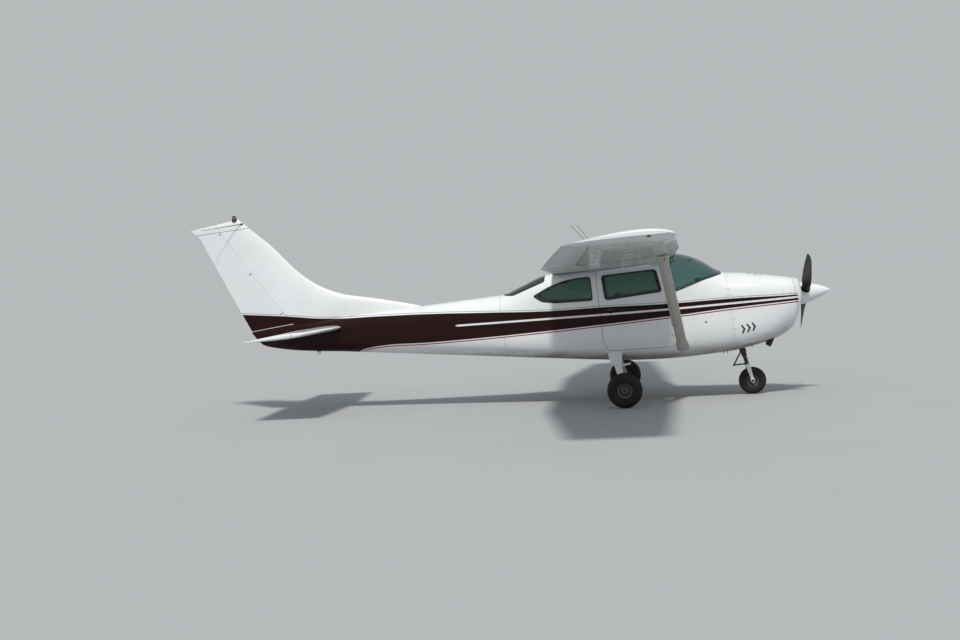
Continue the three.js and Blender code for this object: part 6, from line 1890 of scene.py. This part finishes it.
def plan(front, back, half, y):
    """A seat's shape from above."""
    outline = [[front, y - half], [back, y - half], [back, y + half], [front, y + half]]
    return plate(outline, 0.9, 1.7, 0.06, 2)


def front_view(low, high, half, top_half, y, radius):
    """A seat's shape from the front."""
    outline = [[y - half, low], [y + half, low], [y + top_half, high], [y - top_half, high]]
    return plate(outline, -4.0, -2.0, radius, 0)


def place_cushion(name, mesh, replaces=""):
    place(name, mesh, seat_cloth, replaces, slot="seat_cloth", sharp=180)


def make_front_seats():
    y = 0.262
    lines = [y - 0.105, y, y + 0.105]
    base = cushion(SEAT_BASE, plan(-2.28, -2.66, 0.196, y), 0.196, y, 0.010, lines)
    back = cushion(SEAT_BACK, front_view(1.05, 1.605, 0.192, 0.155, y, 0.07), 0.192, y, 0.010, lines)
    for side, sign in SIDES:
        place_cushion("front_base_cushion_" + side, sided(base, sign), "front_seat_" + side)
        place_cushion("front_back_cushion_" + side, sided(back, sign))
    frames = []
    for y in (0.095, 0.425):
        frames.append(tube([(-2.31, y, 0.815), (-2.30, y, 0.90), (-2.31, y, 0.992), (-2.40, y, 1.000),
                            (-2.62, y, 1.000), (-2.72, y, 1.020), (-2.765, y, 1.12), (-2.845, y, 1.50)],
                           0.011, 12, 5))
        frames.append(tube([(-2.66, y, 1.000), (-2.69, y, 0.92), (-2.69, y, 0.815)], 0.011, 12, 5))
        frames.append(block((-2.74, y - 0.014, 0.798), (-2.27, y + 0.014, 0.814), 0.003))
    frames += [bar((x, 0.095, z), (x, 0.425, z), 0.010, 16)
               for x, z in ((-2.40, 0.998), (-2.62, 0.998), (-2.80, 1.30))]
    place_both("front_seat_frame", joined(*frames), dark_metal)


def make_rear_seat():
    lines = np.linspace(-0.30, 0.30, 5)
    base = cushion(BENCH_BASE, plan(-3.10, -3.48, 0.412, 0), 0.412, 0, 0.012, lines)
    back = cushion(BENCH_BACK, front_view(1.03, 1.545, 0.412, 0.365, 0, 0.08), 0.412, 0, 0.012, lines)
    place_cushion("rear_base_cushion", base, "rear_seat")
    place_cushion("rear_back_cushion", back)
    frames = []
    for y in (-0.29, 0.0, 0.29):
        frames.append(tube([(-3.17, y, 0.86), (-3.16, y, 0.93), (-3.18, y, 0.985), (-3.40, y, 0.985),
                            (-3.52, y, 1.00), (-3.60, y, 1.12), (-3.665, y, 1.44)], 0.011, 12, 5))
        frames.append(tube([(-3.42, y, 0.985), (-3.43, y, 0.93), (-3.43, y, 0.87)], 0.011, 12, 5))
    frames += [bar((x, -0.36, z), (x, 0.36, z), 0.010, 16)
               for x, z in ((-3.20, 0.984), (-3.44, 0.984), (-3.62, 1.25))]
    place("rear_seat_frame", joined(*frames), dark_metal)


def paint_nodes():
    """Materials for the CAD nodes that stay."""
    for name, material in (("firewall", firewall_steel), ("cabin_floor", carpet)):
        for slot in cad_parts[name].material_slots:
            slot.material = material


# Light: one high, broad lamp from the side of the camera, and an even backdrop. The floor's colour
# follows from both, so that floor and backdrop meet in one tone
LAMP_HEIGHT, LAMP_TURN, LAMP_SPREAD = math.radians(57), math.radians(4), math.radians(7)
LAMP_STRENGTH = 2.6
LAMP_COLOUR = np.array([1.0, 0.985, 0.96])
BACKDROP = 0.50 * np.array([0.95, 0.98, 1.0])
FLOOR_REACH = 700.0


def make_floor():
    shader = Shader("floor_surface")
    cloud = shader.noise(shader.add("TexCoord", out=3), 0.6, 4)
    light = BACKDROP + LAMP_COLOUR * LAMP_STRENGTH * math.sin(LAMP_HEIGHT) / math.pi
    shades = [tuple(BACKDROP / light * share) for share in (0.985, 1.015)]
    shader.set(Base_Color=shader.mix(shader.ramp(cloud, 0.3, 0.7), *shades), Roughness=0.95,
               Specular_IOR_Level=0.1)
    corners = [(x * FLOOR_REACH, y * FLOOR_REACH, 0) for x, y in ((-1, -1), (1, -1), (1, 1), (-1, 1))]
    floor = add_object("floor", mesh_from(corners, [[0, 1, 2, 3]]))
    floor.data.materials.append(shader.material)


def make_light():
    scene = bpy.context.scene
    world = bpy.data.worlds.new("studio")
    scene.world = world
    world.use_nodes = True
    background = world.node_tree.nodes["Background"]
    background.inputs["Color"].default_value = (*BACKDROP, 1)
    background.inputs["Strength"].default_value = 1
    data = bpy.data.lights.new("lamp", "SUN")
    data.energy, data.angle, data.color = LAMP_STRENGTH, LAMP_SPREAD, tuple(LAMP_COLOUR)
    lamp = add_object("lamp", data)
    toward = Vector((math.sin(LAMP_TURN), -math.cos(LAMP_TURN), math.tan(LAMP_HEIGHT)))
    lamp.rotation_euler = toward.to_track_quat("Z", "Y").to_euler()
    scene.view_settings.view_transform = "Standard"
    scene.view_settings.look = "None"
    scene.view_settings.exposure = 0.0


make_cabin()
make_glass()
make_doors()
make_baggage_door()
make_bowl()
make_cowl()
make_cowl_details()
make_engine()
make_exhaust()
make_tail_cone()
make_wings()
make_fuel_caps()
make_wing_covers()
make_wing_fittings()
make_wing_lights()
make_roof()
make_struts()
make_main_legs()
make_main_wheels()
make_nose_strut()
make_nose_fork()
make_torque_link()
make_stabiliser()
make_elevator()
make_fin()
make_propeller()
make_spinner()
make_beacon()
make_panel()
make_controls()
make_cabin_details()
make_front_seats()
make_rear_seat()
paint_nodes()
make_floor()
make_light()
